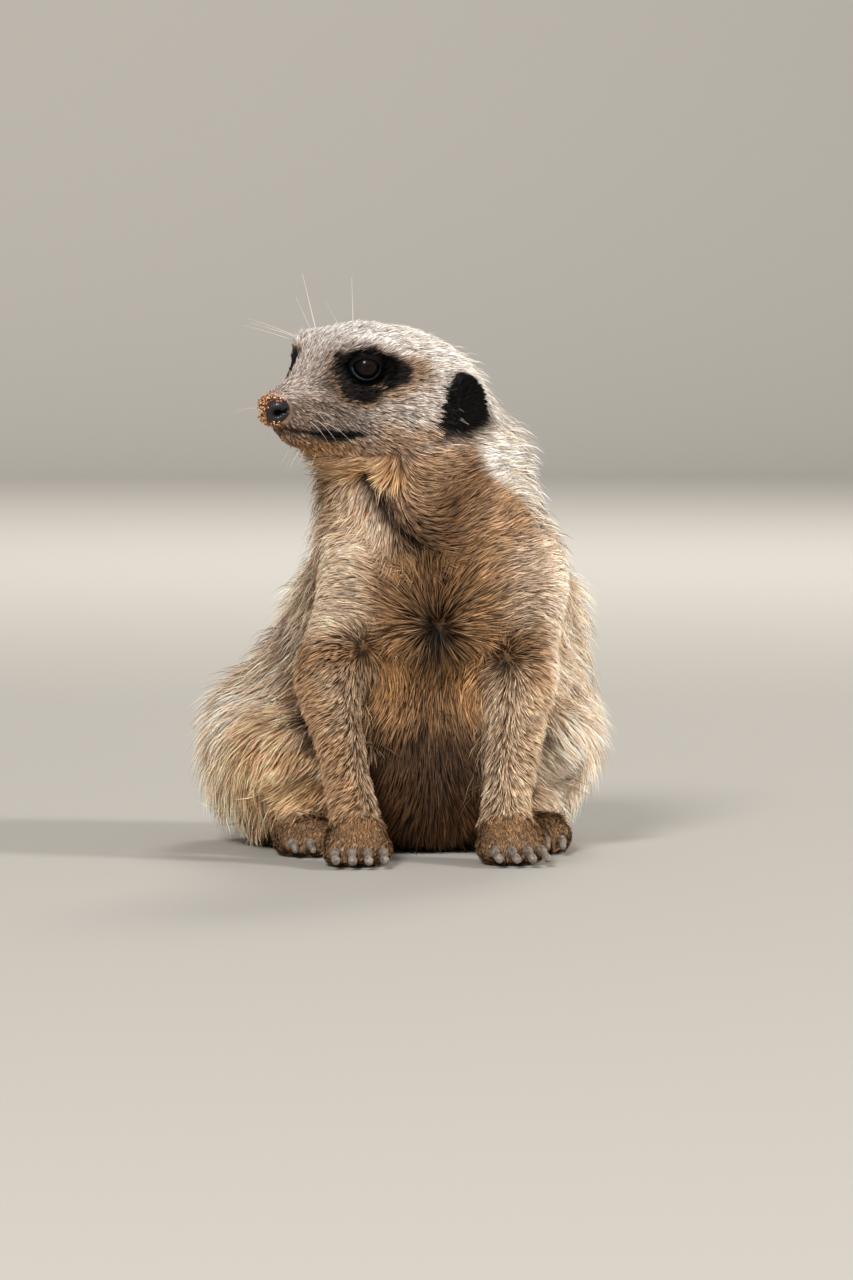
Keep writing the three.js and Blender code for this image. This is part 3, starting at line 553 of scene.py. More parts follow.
def lie_of_coat(points, normals, zones):
    """The direction in which the hair lies at points of the skin, along the skin."""
    x, y, z = points.T
    h = in_head(points)
    lateral = np.clip((x - WHORL[0]) / 34, -1.2, 1.2)
    front = fade(normals[:, 1], 0.45, -0.35)
    body = unit(columns(lateral * (0.25 + 0.75 * front), 0.75 - 0.65 * front, -0.8))

    head = unit(points - NOSE)
    head = unit(head - 0.25 * HEAD_AXES[2] * fade(h[:, 2], 4, -12)[:, None])
    head = unit(head - 0.9 * HEAD_AXES[2] * fade(h[:, 1], 26, 42)[:, None])
    ear_mid = np.where((h[:, 0] > 0)[:, None], EARS["left"], EARS["right"])
    ear = unit(points - ear_mid + HEAD_AXES[1] * 9)
    throat = fade(x, -14, -6) * fade(x, 32, 22) * front
    aside = lateral * 0.9 + 0.35 * fade(x, 6, 24) - 0.35 * fade(x, -6, -20) + 0.8 * throat
    neck = columns(aside, 0.5 - 0.4 * front, 0.3 * throat - 0.62)
    leg_mid = np.where(x > WHORL[0], ELBOWS["left"][0] - 2, ELBOWS["right"][0] + 2)
    across = np.clip((x - leg_mid) / 9, -1, 1)
    leg = columns(across * 0.85, 0.15, -0.85)
    hind = columns(np.sign(x) * 0.75, 0.25 - 0.5 * front, -0.65)
    foot = columns(0.25 * across, -1, -0.25)
    tail = columns(0.0012 * (y - 60), 1, -0.12)

    flow = np.zeros_like(points)
    for way, names in ((head, ["head"]), (ear, ["ear"]), (neck, ["neck"]),
                       (body, ["chest", "belly", "rump"]), (leg, ["foreleg"]), (hind, ["hindleg"]),
                       (foot, ["foot"]), (tail, ["tail", "tip"])):
        flow += unit(way) * share_of(zones, *names)[:, None]
    flow = unit(flow)

    # the hair radiates from the whorls of the breast and elbows, and runs down beside the fold
    front_side = fade(y, WHORL[1] + 34, WHORL[1] + 14)[:, None]
    above = fade(z, WHORL[2] - 5, WHORL[2] + 4)
    breast = near(points, WHORL + [0, 6, 16], (34, 60, 26)) * above
    flow = unit(flow + 2.6 * front_side * breast[:, None] * unit(points - WHORL))
    away, gap = from_crease(points, CREASE[:3])
    beside = ridge(gap, 6.0) * fade(z, CREASE[2][2] - 9, CREASE[2][2])
    beside *= fade(z, CREASE[0][2] + 3, CREASE[0][2] - 3)
    along = unit(CREASE[2] - CREASE[0])
    flow = unit(flow + 4.0 * front_side * beside[:, None] * unit(along + 0.35 * unit(away)))
    flow = unit(flow + 3.0 * near(points, WHORL, 8)[:, None] * unit(points - WHORL))
    for elbow in ELBOWS.values():
        ring = near(points, elbow, 9.5)
        flow = unit(flow + 3.0 * front_side * ring[:, None] * unit(points - elbow))
    # on the belly it parts to both sides
    fork = near_line(points, FORK, FORK - [0, 0, 20], 16) * fade(z, FORK[2] + 4, FORK[2] - 4)
    fan = unit(columns(np.clip((x - FORK[0]) / 10, -1, 1) * 0.7, 0, -1))
    flow = unit(flow + 1.8 * front_side * fork[:, None] * fan)

    # it strays a little from place to place, and stays along the skin
    turn = 0.20 * waves(points, 11, 21) + 0.10 * waves(points, 4.5, 22)
    flow = unit(flow - normals * dot(flow, normals)[:, None])
    return unit(flow + np.cross(normals, flow) * turn[:, None])


# ------------------------------------------------------------------ meshes and materials


def read(elements, key, width=3):
    """Numbers of a mesh's elements, as rows of an array."""
    whole = key in ("vertices", "loops")
    values = np.empty(len(elements) * width, np.int32 if whole else np.float32)
    elements.foreach_get(key, values)
    return values.reshape(-1, width).astype(int if whole else float)


def places(mesh):
    """Where a mesh's vertices are, in mm."""
    return read(mesh.vertices, "co") / MM


def move_to(mesh, points):
    """Moves a mesh's vertices to places in mm."""
    mesh.vertices.foreach_set("co", (points * MM).astype(np.float32).ravel())
    mesh.update()


def normals_of(mesh):
    """Which way the surface faces at each vertex of a mesh."""
    return read(mesh.vertex_normals, "vector")


def neighbour_mean(values, edges, rounds):
    """Each vertex's numbers, evened out with its neighbours' a number of times."""
    count = np.bincount(edges.ravel(), minlength=len(values))
    for _ in range(rounds):
        total = np.stack([
            np.bincount(edges[:, 0], column[edges[:, 1]], len(values))
            + np.bincount(edges[:, 1], column[edges[:, 0]], len(values))
            for column in values.T], axis=1)
        values = 0.5 * values + 0.5 * total / np.maximum(count, 1)[:, None]
    return values


def mesh_from(bm, name):
    """Ends a bmesh and gives its mesh."""
    mesh = bpy.data.meshes.new(name)
    bm.to_mesh(mesh)
    bm.free()
    return mesh


def piece_of(name, mesh, material=None, nodes=()):
    """A piece made from a mesh. It rides on the body and may stand for CAD nodes."""
    piece = bpy.data.objects.new(name, mesh)
    bpy.context.scene.collection.objects.link(piece)
    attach(piece, "root")
    if nodes:
        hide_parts(*nodes)
    mesh.polygons.foreach_set("use_smooth", np.ones(len(mesh.polygons), bool))
    if material:
        mesh.materials.append(material)
    return piece


def set_colour(mesh, name, colours):
    """Keeps a colour for each vertex in a named attribute, which a material reads."""
    layer = mesh.color_attributes.new(name=name, type="FLOAT_COLOR", domain="POINT")
    rgba = np.ones((len(colours), 4), np.float32)
    rgba[:, :3] = np.clip(colours, 0, 1)
    layer.data.foreach_set("color", rgba.ravel())


def new_material(name, inputs, attribute=None):
    """A material and its nodes, given its shader's inputs and perhaps the attribute of its colour."""
    material = bpy.data.materials.new(name)
    material.use_nodes = True
    tree = material.node_tree
    shader = tree.nodes["Principled BSDF"]
    feed(tree, shader, inputs)
    if attribute:
        colour = add_node(tree, "ShaderNodeAttribute", {"attribute_name": attribute})
        feed(tree, shader, {"Base Color": colour.outputs["Color"]})
    return material, tree, shader


def feed(tree, node, inputs):
    """Sets a node's inputs, by name or number, to values or to the outputs of other nodes."""
    for key, value in inputs.items():
        if isinstance(value, bpy.types.NodeSocket):
            tree.links.new(value, node.inputs[key])
        else:
            node.inputs[key].default_value = value


def add_node(tree, kind, settings=None, inputs=None):
    """Adds a node with its settings and its inputs."""
    node = tree.nodes.new(kind)
    for key, value in (settings or {}).items():
        setattr(node, key, value)
    feed(tree, node, inputs or {})
    return node


def fur_material():
    """Guard and wool hair: dull keratin, a little lighter and darker from strand to strand."""
    return new_material("meerkat hair", {"Roughness": 0.55, "Specular IOR Level": 0.16}, "Coat")[0]


WOOL_GRAIN = 0.9  # mm: the width of a lock, as single fibres of wool are too fine to show


def skin_material():
    """Furred skin: the short wool between the tufts, as fine streaks of the coat's own colours."""
    inputs = {"Roughness": 0.8, "Specular IOR Level": 0.08}
    material, tree, shader = new_material("meerkat skin under wool", inputs)
    colour = add_node(tree, "ShaderNodeAttribute", {"attribute_name": "Coat"})
    place = add_node(tree, "ShaderNodeTexCoord")
    wool = add_node(tree, "ShaderNodeTexNoise", inputs={
        "Vector": place.outputs["Object"], "Scale": 1 / (WOOL_GRAIN * MM), "Detail": 3.0})
    # socket 0 is the value, 1 and 2 are its range, and 3 and 4 the range that it is brought to
    shade = add_node(tree, "ShaderNodeMapRange", inputs={
        0: wool.outputs["Fac"], 1: 0.3, 2: 0.7, 3: 0.72, 4: 1.12})
    dulled = add_node(tree, "ShaderNodeVectorMath", {"operation": "SCALE"}, {
        0: colour.outputs["Color"], "Scale": shade.outputs[0]})
    bump = add_node(tree, "ShaderNodeBump", inputs={
        "Height": wool.outputs["Fac"], "Strength": 0.5, "Distance": 0.3 * MM})
    feed(tree, shader, {"Base Color": dulled.outputs[0], "Normal": bump.outputs[0]})
    return material


def unwrap(piece):
    """Unwraps a mesh by the run of its own surface, into the map that the coat is baked by."""
    bpy.ops.object.select_all(action="DESELECT")
    piece.select_set(True)
    bpy.context.view_layer.objects.active = piece
    piece.data.uv_layers.new(name="OFBake")
    bpy.ops.object.mode_set(mode="EDIT")
    bpy.ops.mesh.select_all(action="SELECT")
    bpy.ops.uv.smart_project(angle_limit=math.radians(66), island_margin=0.002)
    bpy.ops.object.mode_set(mode="OBJECT")


# ------------------------------------------------------------------ the skin

CLOSING = 0.45  # mm by which copies of the flesh nodes are grown, so that the cuts between them close
SKIN_ABOVE_FLOOR = 0.15  # mm


def joined_flesh():
    """Merged copies of the flesh nodes, grown a little so that they close the cuts between them."""
    whole = bmesh.new()
    for node in FLESH:
        part = bmesh.new()
        part.from_mesh(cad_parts[node].data)
        bmesh.ops.remove_doubles(part, verts=part.verts, dist=1e-6)
        part.normal_update()
        for vert in part.verts:
            vert.co += vert.normal * (CLOSING * MM)
        mesh = mesh_from(part, "part")
        whole.from_mesh(mesh)
        bpy.data.meshes.remove(mesh)
    return mesh_from(whole, "skin")


def applied(piece):
    """Replaces a piece's mesh with what its modifiers make of it."""
    depsgraph = bpy.context.evaluated_depsgraph_get()
    made = bpy.data.meshes.new_from_object(piece.evaluated_get(depsgraph))
    piece.modifiers.clear()
    old = piece.data
    piece.data = made
    bpy.data.meshes.remove(old)
    made.name = piece.name


def zones_on(mesh, rounds):
    """Each vertex's share in each zone, from the nearest CAD node, softened over the borders."""
    verts, faces, owner = [], [], []
    for index, name in enumerate(ZONE_NAMES):
        for node in ZONES[name]["nodes"]:
            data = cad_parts[node].data
            start = len(verts)
            verts.extend(v.co.copy() for v in data.vertices)
            faces.extend([start + i for i in p.vertices] for p in data.polygons)
            owner.extend([index] * len(data.polygons))
    tree = BVHTree.FromPolygons(verts, faces)
    owner = np.array(owner)
    hit = np.array([tree.find_nearest(v.co)[2] for v in mesh.vertices])
    shares = np.eye(len(ZONE_NAMES))[owner[hit]]
    return neighbour_mean(shares, read(mesh.edges, "vertices", 2), rounds)


def smooth_facets(mesh, zones):
    """Rounds off the facets, most on the trunk and least on the face, ears and feet."""
    softness = 1 - 0.80 * share_of(zones, "foot", "ear") - 0.62 * share_of(zones, "head")
    edges = read(mesh.edges, "vertices", 2)
    points = places(mesh)
    for _ in range(4):
        points = mixed(points, neighbour_mean(points, edges, 9), softness)
    move_to(mesh, points)


def refine(mesh, chosen):
    """Halves the edges between the chosen vertices."""
    bm = bmesh.new()
    bm.from_mesh(mesh)
    bm.verts.ensure_lookup_table()
    edges = [e for e in bm.edges if chosen[e.verts[0].index] and chosen[e.verts[1].index]]
    bmesh.ops.subdivide_edges(bm, edges=edges, cuts=1, use_grid_fill=True)
    bmesh.ops.triangulate(bm, faces=[f for f in bm.faces if len(f.verts) > 4])
    bm.to_mesh(mesh)
    bm.free()
    mesh.update()


def gaze(side):
    """Where an eye looks: forwards and to its side."""
    sign = 1 if side == "left" else -1
    return unit(np.array([sign * 0.80, -0.60, 0.04]) @ HEAD_AXES)


def eye_frame(side):
    """An eye's own axes as rows: rearward, up and outward along its gaze."""
    out = gaze(side)
    rear = unit(HEAD_AXES[1] - out * (HEAD_AXES[1] @ out))
    up = np.cross(out, rear)
    return np.array([rear, up if up @ HEAD_AXES[2] > 0 else -up, out])


# The opening between the lids: how far it reaches from the eye's middle, how thick the lids are and
# how deep the skin lies behind the ball, all in mm, its tilt, and how square its corners are
LIDS = dict(front=4.2, rear=3.8, upper=2.5, lower=3.6, thick=0.5, sunk=1.2,
            tilt=math.radians(6), corner=1.85)


def lid_place(local, side):
    """Where points lie against the opening of the lids: 1 on its edge, with their height and depth."""
    local = local @ eye_frame(side).T
    u = local[:, 0] * math.cos(LIDS["tilt"]) - local[:, 1] * math.sin(LIDS["tilt"])
    v = local[:, 1] * math.cos(LIDS["tilt"]) + local[:, 0] * math.sin(LIDS["tilt"])
    wide = np.where(u < 0, LIDS["front"], LIDS["rear"])
    tall = np.where(v > 0, LIDS["upper"], LIDS["lower"])
    power = LIDS["corner"]
    a = (np.abs(u / wide) ** power + np.abs(v / tall) ** power) ** (1 / power)
    return a, v, local[:, 2]


def shape_lids(points):
    """Sinks the skin behind each eyeball and draws it over the ball as two lids."""
    for side, centre in EYES.items():
        local = points - centre
        a, v, w = lid_place(local, side)
        flat = np.sqrt(np.maximum((local**2).sum(1) - w**2, 0))
        on_ball = np.sqrt(np.maximum((EYE_RADIUS + LIDS["thick"]) ** 2 - flat**2, 0.3))
        behind = np.sqrt(np.maximum((EYE_RADIUS - LIDS["sunk"]) ** 2 - flat**2, 0.1))
        crease = 0.40 * ridge(a - 1.50, 0.10) * fade(v, -0.5, 0.5)
        crease += 0.25 * ridge(a - 1.38, 0.10) * fade(v, 0.5, -0.5)
        roll = (0.02 + 0.20 * fade(v, 0.2, -0.6)) * ridge(a - 1.12, 0.10)
        lid = on_ball + roll - crease
        out = fade(a, 1.55, 2.3)
        target = lid * (1 - out) + np.maximum(w, lid) * out
        target = np.where(a > 2.3, w, target)
        target = behind + (target - behind) * fade(a, 0.94, 1.03)
        reach = (w > -1) * (flat < 11) * (np.linalg.norm(local, axis=1) < 15)
        points = points + ((target - w) * reach)[:, None] * eye_frame(side)[2]
    return points


def bed_nose(points):
    """Draws the skin in behind the nose pad, so that the pad sits in it."""
    pad = (points - NOSE) @ HEAD_AXES.T - NOSE_PAD["at"]
    r = np.linalg.norm(pad / NOSE_PAD["radii"], axis=1)
    shrunk = pad * (1 - 0.5 * fade(r, 1.15, 0.85))[:, None]
    return (shrunk + NOSE_PAD["at"]) @ HEAD_AXES + NOSE


def shape_mouth(points, normals):
    """The closed line of the mouth, the lips' edges and the corner."""
    h = in_head(points)
    gap = h[:, 2] - lip_height(h[:, 1])
    along = fade(h[:, 1], -3.0, -5.5) * fade(h[:, 1], -30, -27)
    groove = 0.85 * ridge(gap, 0.55) - 0.35 * ridge(gap - 1.5, 0.9)
    corner = 0.5 * near(h * [0, 1, 1], (0, -4.2, -19.8), (1, 1.6, 1.2))
    points = points - normals * ((groove * along + corner) * (h[:, 1] < 0))[:, None]
    tuck = 2.3 * fade(h[:, 2], -16.5, -19) * fade(h[:, 2], -30, -25) * fade(h[:, 1], -11, -20)
    return points + HEAD_AXES[1] * tuck[:, None]


def shape_folds(points, normals):
    """The fold of the throat and the hollows of the whorls."""
    gap = from_crease(points, CREASE)[1]
    deep = 0.5 + 1.9 * fade(points[:, 2], CREASE[2][2] - 8, CREASE[1][2])
    sunk = deep * ridge(gap, 1.9)
    sunk += 1.3 * near(points, WHORL, 5.0)
    for elbow in ELBOWS.values():
        sunk += 1.0 * near(points, elbow, 4.5)
    return points - normals * sunk[:, None]


def shape_ears(points):
    """Deepens the bowl of each ear and leaves its rim standing."""
    for side, centre in EARS.items():
        out = HEAD_AXES[0] * (1 if side == "left" else -1)
        local = points - centre
        flat = local - np.outer(local @ out, out)
        r = np.hypot(flat @ HEAD_AXES[1] / 6.4, flat @ HEAD_AXES[2] / 9.0)
        outward = fade(local @ out, -1.2, 0.6)
        deep = 1.5 * fade(r, 1.0, 0.55) * outward * (np.linalg.norm(local, axis=1) < 14)
        points = points - out * deep[:, None]
    return points


def refine_face(mesh, zones):
    """Finer facets on the face, the finest round the eyes, all evened out once more."""
    h = in_head(places(mesh))
    refine(mesh, (share_of(zones, "head") > 0.2) & (h[:, 1] < 14))
    refine(mesh, sum(near(places(mesh), eye, 9) for eye in EYES.values()) > 0.4)
    points = places(mesh)
    h = in_head(points)
    soft = fade(h[:, 1], 22, 12) * fade(h[:, 2], -40, -32)
    evened = neighbour_mean(points, read(mesh.edges, "vertices", 2), 3)
    move_to(mesh, mixed(points, evened, soft))


def coat_depth(points, normals, zones):
    """How deep the skin lies under the outer face of the coat, in mm."""
    h = in_head(points)
    head = share_of(zones, "head")
    short = bareness(points) * head
    crown = head * fade(h[:, 2], np.interp(h[:, 1], [5, 24], [5, -9]), 11)
    crown *= (0.9 + 1.5 * fade(h[:, 1], 6, 18)) * fade(h[:, 1], 56, 34)
    side = fade(np.abs(normals[:, 0]), 0.3, 0.8) * fade(points[:, 2], 76, 90)
    side = side * share_of(zones, "neck", "chest") * fade(points[:, 2], 132, 118)
    right = share_of(zones, "neck") * fade(-normals[:, 0], 0.3, 0.8)
    side = 3.2 * side * (normals[:, 0] > 0) + 0.7 * right
    return zone_value(zones, "depth") * (1 - 0.72 * short) + crown + side


def brow_relief(points):
    """How far the brows stand out and the hollows in front of the eyes lie in, in mm."""
    h = in_head(points)
    brows = 1.7 * sum(near(h, (sign * 13.5, -6.5, 1.0), 4.5) for sign in (1, -1))
    hollows = sum(near(h, (sign * 9.0, -10.0, -0.5), (4.0, 4.5, 6.0)) for sign in (1, -1))
    return 0.7 * brows - 0.3 * hollows


def build_skin(settings):
    """One closed skin for all the flesh nodes, sunk by the depth of the coat, with the face worked in."""
    flesh = [node for node in FLESH if node not in KEPT_APART]
    skin = piece_of("skin", joined_flesh(), nodes=flesh)
    one = skin.modifiers.new("one skin", "REMESH")
    one.mode = "VOXEL"
    one.voxel_size = settings.coat.voxel
    applied(skin)
    mesh = skin.data
    zones = zones_on(mesh, 6)
    smooth_facets(mesh, zones)
    refine_face(mesh, zones)

    zones = zones_on(mesh, 10)
    points, normals = places(mesh), normals_of(mesh)
    lift = brow_relief(points) - coat_depth(points, normals, zones) - CLOSING
    points = points + normals * lift[:, None]
    points = bed_nose(shape_lids(shape_ears(points)))
    move_to(mesh, points)
    normals = normals_of(mesh)
    points = shape_folds(shape_mouth(points, normals), normals)
    points[:, 2] = np.maximum(points[:, 2], SKIN_ABOVE_FLOOR)
    move_to(mesh, points)

    for index, name in enumerate(ZONE_NAMES):
        layer = mesh.attributes.new("zone_" + name, "FLOAT", "POINT")
        layer.data.foreach_set("value", zones[:, index].astype(np.float32))
    tip, root = markings(settings.hair, points, zones)
    set_colour(mesh, "Coat", mixed(root, tip, np.full(len(points), 0.35)))
    unwrap(skin)
    mesh.materials.append(skin_material())


# ------------------------------------------------------------------ the coat


class SkinData:
    """The finished skin as arrays, from which hair is rooted."""

    def __init__(self, mesh):
        """Reads the places, facings, zones and bake map of the skin's mesh."""
        mesh.calc_loop_triangles()
        self.points = places(mesh)
        self.normals = normals_of(mesh)
        self.corners = read(mesh.loop_triangles, "vertices")
        self.loops = read(mesh.loop_triangles, "loops")
        self.uv = read(mesh.uv_layers["OFBake"].data, "uv", 2)
        layers = [mesh.attributes["zone_" + name].data for name in ZONE_NAMES]
        self.zones = np.concatenate([read(layer, "value", 1) for layer in layers], axis=1)
        a, b, c = (self.points[self.corners[:, i]] for i in range(3))
        self.areas = np.linalg.norm(np.cross(b - a, c - a), axis=1) / 2

    def roots(self, density, rng):
        """Random places on the skin, with so many to a square millimetre at each vertex."""
        wanted = self.areas * density[self.corners].mean(1)
        total = int(wanted.sum())
        face = np.searchsorted(np.cumsum(wanted), rng.random(total) * wanted.sum())
        face = np.minimum(face, len(wanted) - 1)
        r1, r2 = np.sqrt(rng.random(total)), rng.random(total)
        share = columns(1 - r1, r1 * (1 - r2), r1 * r2)[..., None]
        corners = self.corners[face]
        rows = [(own[corners] * share).sum(1) for own in (self.points, self.normals, self.zones)]
        uv = (self.uv[self.loops[face]] * share).sum(1)
        return Roots(rows[0], unit(rows[1]), rows[2], uv)


Roots = namedtuple("Roots", "points normals zones uv")  # where hairs grow, with a row for each


def brow_tufts(points):
    """How far the hair stands out in front of and above each eye."""
    h = in_head(points)
    brow = sum(near(h, (sign * 15, -6.0, 2.0), (4.5, 4.0, 5.0)) for sign in (1, -1))
    return np.clip(brow, 0, 1)


def covered(points):
    """True where no hair grows: on the nose pad, the eyeballs and their lids, and in the throat's fold."""
    pad = ((points - NOSE) @ HEAD_AXES.T - NOSE_PAD["at"]) / NOSE_PAD["radii"]
    bare = np.linalg.norm(pad, axis=1) < 1.06
    bare |= from_crease(points, CREASE[:3])[1] < 0.75
    for side, centre in EYES.items():
        a, v, w = lid_place(points - centre, side)
        on_lid = (a < np.where(v > 0, 1.50, 1.32)) & (w > -2)
        bare |= on_lid & (np.linalg.norm(points - centre, axis=1) < 12)
    return bare


def clumped(points, tips, leaders, rng):
    """The way from each hair's tip to that of the nearest hair that leads a clump, and which it is."""
    chosen = np.flatnonzero(rng.random(len(points)) < leaders)
    tree = KDTree(len(chosen))
    for i, point in enumerate(points[chosen]):
        tree.insert(point, i)
    tree.balance()
    nearest = chosen[np.array([tree.find(point)[1] for point in points])]
    return tips[nearest] - tips, nearest


ROOTED = 0.25  # mm by which a hair starts below the skin


def hair_paths(roots, lie, length, rise, steps):
    """Points along each hair, from under the skin. It rises and then lies down along the body."""
    rows = [roots.points - roots.normals * ROOTED]
    for i in range(steps):
        angle = rise * (1.25 - 1.3 * i / steps)
        way = lie * np.cos(angle)[:, None] + roots.normals * np.sin(angle)[:, None]
        rows.append(rows[-1] + way * (length / steps)[:, None])
    return np.stack(rows, axis=1)


WIDTHS = {2: (1.0, 0.85, 0.0), 3: (1.0, 1.0, 0.65, 0.0)}  # of a hair along its length, by its steps
PATCH = 0.003  # a tuft's share of the bake map each way


def hair_mesh(name, paths, side, width, colours, uv):
    """Flat tapered hairs as one mesh of triangles. Colours has a row for each step of each hair."""
    count, rows = paths.shape[:2]
    steps = rows - 1
    half = np.array(WIDTHS[steps])[None, :, None] * (width / 2)[:, None, None]
    left = paths[:, :-1] - side[:, None] * half[:, :-1]
    right = paths[:, :-1] + side[:, None] * half[:, :-1]
    pairs = np.stack([left, right], axis=2).reshape(count, 2 * steps, 3)
    points = np.concatenate([pairs, paths[:, -1:]], axis=1)
    per = 2 * steps + 1
    faces = []
    for i in range(steps - 1):
        faces += [[2 * i, 2 * i + 1, 2 * i + 3], [2 * i, 2 * i + 3, 2 * i + 2]]
    faces.append([per - 3, per - 2, per - 1])
    triangles = (np.arange(count)[:, None, None] * per + np.array(faces)).reshape(-1)
    mesh = bpy.data.meshes.new(name)
    mesh.vertices.add(count * per)
    mesh.vertices.foreach_set("co", (points * MM).astype(np.float32).ravel())
    mesh.loops.add(len(triangles))
    mesh.loops.foreach_set("vertex_index", triangles.astype(np.int32))
    mesh.polygons.add(len(triangles) // 3)
    mesh.polygons.foreach_set("loop_start", np.arange(0, len(triangles), 3, dtype=np.int32))
    mesh.update(calc_edges=True)
    rgb = np.concatenate([np.repeat(colours[:, :-1], 2, axis=1), colours[:, -1:]], axis=1)
    set_colour(mesh, "Coat", rgb.reshape(-1, 3))
    across = np.array([0, 1] * steps + [0.5])
    along = np.array([i / steps for i in range(steps) for _ in (0, 1)] + [1.0])
    spread = np.stack([across - 0.5, along - 0.5], axis=1) * PATCH
    place = np.clip(uv[:, None] + spread[None], 0, 1).reshape(-1, 2)
    layer = mesh.uv_layers.new(name="OFBake")
    layer.data.foreach_set("uv", place[triangles].astype(np.float32).ravel())
    return mesh


# The regions that the coat is parted into: the zone of each, and the name of a finish, which nothing reads
REGIONS = {
    "head": ("head", "pale_fur"),
    "ears": ("ear", "ear_fur"),
    "neck": ("neck", "tan_fur"),
    "breast": ("chest", "tan_fur"),
    "belly": ("belly", "orange_fur"),
    "back": ("rump", "grizzled_fur"),
    "forelegs": ("foreleg", "orange_fur"),
    "thighs": ("hindleg", "pale_fur"),
    "feet": ("foot", "foot_fur"),
    "tail": ("tail", "tan_fur"),
    "tail_tip": ("tip", "black_fur"),
}
MOST_TRIANGLES = 190000  # in one piece of the coat

# The kinds of hair: the steps that each bends in, its length against the zone's, how much steeper
# it stands, in degrees, the share of hairs that lead a clump, and how much paler it is
KINDS = {
    "coat": dict(steps=3, scale=1.0, stand=0, leaders=0.12, paler=0.0),
    "short_coat": dict(steps=2, scale=1.0, stand=0, leaders=0.12, paler=0.0),
    "guard_hair": dict(steps=3, scale=1.5, stand=13, leaders=0.22, paler=0.05),
}
HAIR_ABOVE_FLOOR = 0.12  # mm


def grow(skin, name, density, rng, material, settings):
    """Grows one kind of hair over the skin and makes it into pieces below the size limit."""
    kind = KINDS[name]
    steps = kind["steps"]
    roots = skin.roots(density, rng)
    shown = ~covered(roots.points)
    roots = Roots(*(rows[shown] for rows in roots))
    count = len(roots.points)
    head = share_of(roots.zones, "head")
    short = bareness(roots.points) * head
    brow = brow_tufts(roots.points) * head

    length = zone_value(roots.zones, "length") * (1 - 0.60 * short)
    length *= 1 - 0.55 * ridge(from_crease(roots.points, CREASE[:3])[1], 2.4)
    length = length + brow * 2.6
    length *= kind["scale"] * settings.coat.length * rng.uniform(0.75, 1.2, count)
    tail_end = share_of(roots.zones, "tip") * fade(roots.normals[:, 1], 0.2, 0.8)
    rise = zone_value(roots.zones, "rise") + kind["stand"] + 32 * brow + 50 * tail_end
    rise = np.radians(rise) * rng.normal(1, 0.22, count)
    width = zone_value(roots.zones, "width") * rng.uniform(0.8, 1.2, count) * (1 - 0.15 * short)
    lie = lie_of_coat(roots.points, roots.normals, roots.zones)
    lie = unit(lie + np.cross(roots.normals, lie) * rng.normal(0, 0.12, count)[:, None])
    paths = hair_paths(roots, lie, length, rise, steps)
    pull, leader = clumped(roots.points, paths[:, -1], kind["leaders"], rng)
    far = np.linalg.norm(pull, axis=1)
    pull *= (zone_value(roots.zones, "clump") * fade(far, 3.2, 1.2))[:, None]
    bend = (np.arange(steps + 1) / steps) ** 1.5
    paths = paths + pull[:, None] * bend[None, :, None]
    paths[..., 2] = np.maximum(paths[..., 2], HAIR_ABOVE_FLOOR)
    roll = rng.normal(0, 0.45, count)
    side = np.cross(roots.normals, lie)
    side = unit(side * np.cos(roll)[:, None] + roots.normals * np.sin(roll)[:, None])

    middles = roots.points + lie * (0.4 * length)[:, None]
    tip, root = markings(settings.hair, middles, roots.zones, roots.points)
    clump_tone = rng.normal(0, 1, count)[leader]
    own_tone = rng.normal(0, 1, count)
    tone = np.exp(0.20 * clump_tone + (0.19 + 0.08 * head) * own_tone + kind["paler"])
    tip = mixed(tip, root, flecks(roots, rng))
    colours = hair_colours(root, tip, tone, steps, rng)
    parcel(name, roots, paths, side, width, colours, material)


def parcel(kind, roots, paths, side, width, colours, material):
    """Makes hairs into the pieces of each region, parted by bands of the body."""
    owner = roots.zones.argmax(1)
    order = np.lexsort((roots.points[:, 1] // 12, roots.points[:, 2] // 30))
    limit = MOST_TRIANGLES // (2 * KINDS[kind]["steps"] - 1)
    for region, (zone, slot) in REGIONS.items():
        mine = order[owner[order] == ZONE_NAMES.index(zone)]
        if not len(mine):
            continue
        for index, part in enumerate(np.array_split(mine, math.ceil(len(mine) / limit))):
            name = f"{kind}_{region}_{index + 1}"
            mesh = hair_mesh(name, paths[part], side[part], width[part], colours[part], roots.uv[part])
            piece_of(name, mesh, material)


def flecks(roots, rng):
    """How dark the tip of each hair is: the share of ticked hairs differs over the body."""
    h = in_head(roots.points)
    head = share_of(roots.zones, "head")
    chance = 0.16 + 0.14 * head
    chance = chance + 0.16 * head * fade(h[:, 2], -4, -12) * fade(h[:, 1], 10, -4)
    chance = chance + 0.13 * share_of(roots.zones, "chest", "foreleg", "neck")
    chance = chance + 0.18 * share_of(roots.zones, "rump")
    chance = chance - 0.08 * fade(h[:, 2], 2, 8) * head
    ticked = rng.random(len(roots.points)) < chance
    return ticked * rng.uniform(0.45, 0.95, len(ticked))


def hair_colours(root, tip, tone, steps, rng):
    """Colours along each hair, dark at its root and pale towards its tip."""
    share = np.clip((np.arange(steps + 1) / steps - 0.28) / 0.5, 0, 1)
    rows = root[:, None] * 0.78 + (tip - root * 0.78)[:, None] * share[None, :, None]
    warm = rng.normal(0, 0.03, len(root))
    tint = np.stack([1 + warm, np.ones_like(warm), 1 - warm], axis=1)
    return np.clip(rows * tone[:, None, None] * tint[:, None], 0.002, 0.95)


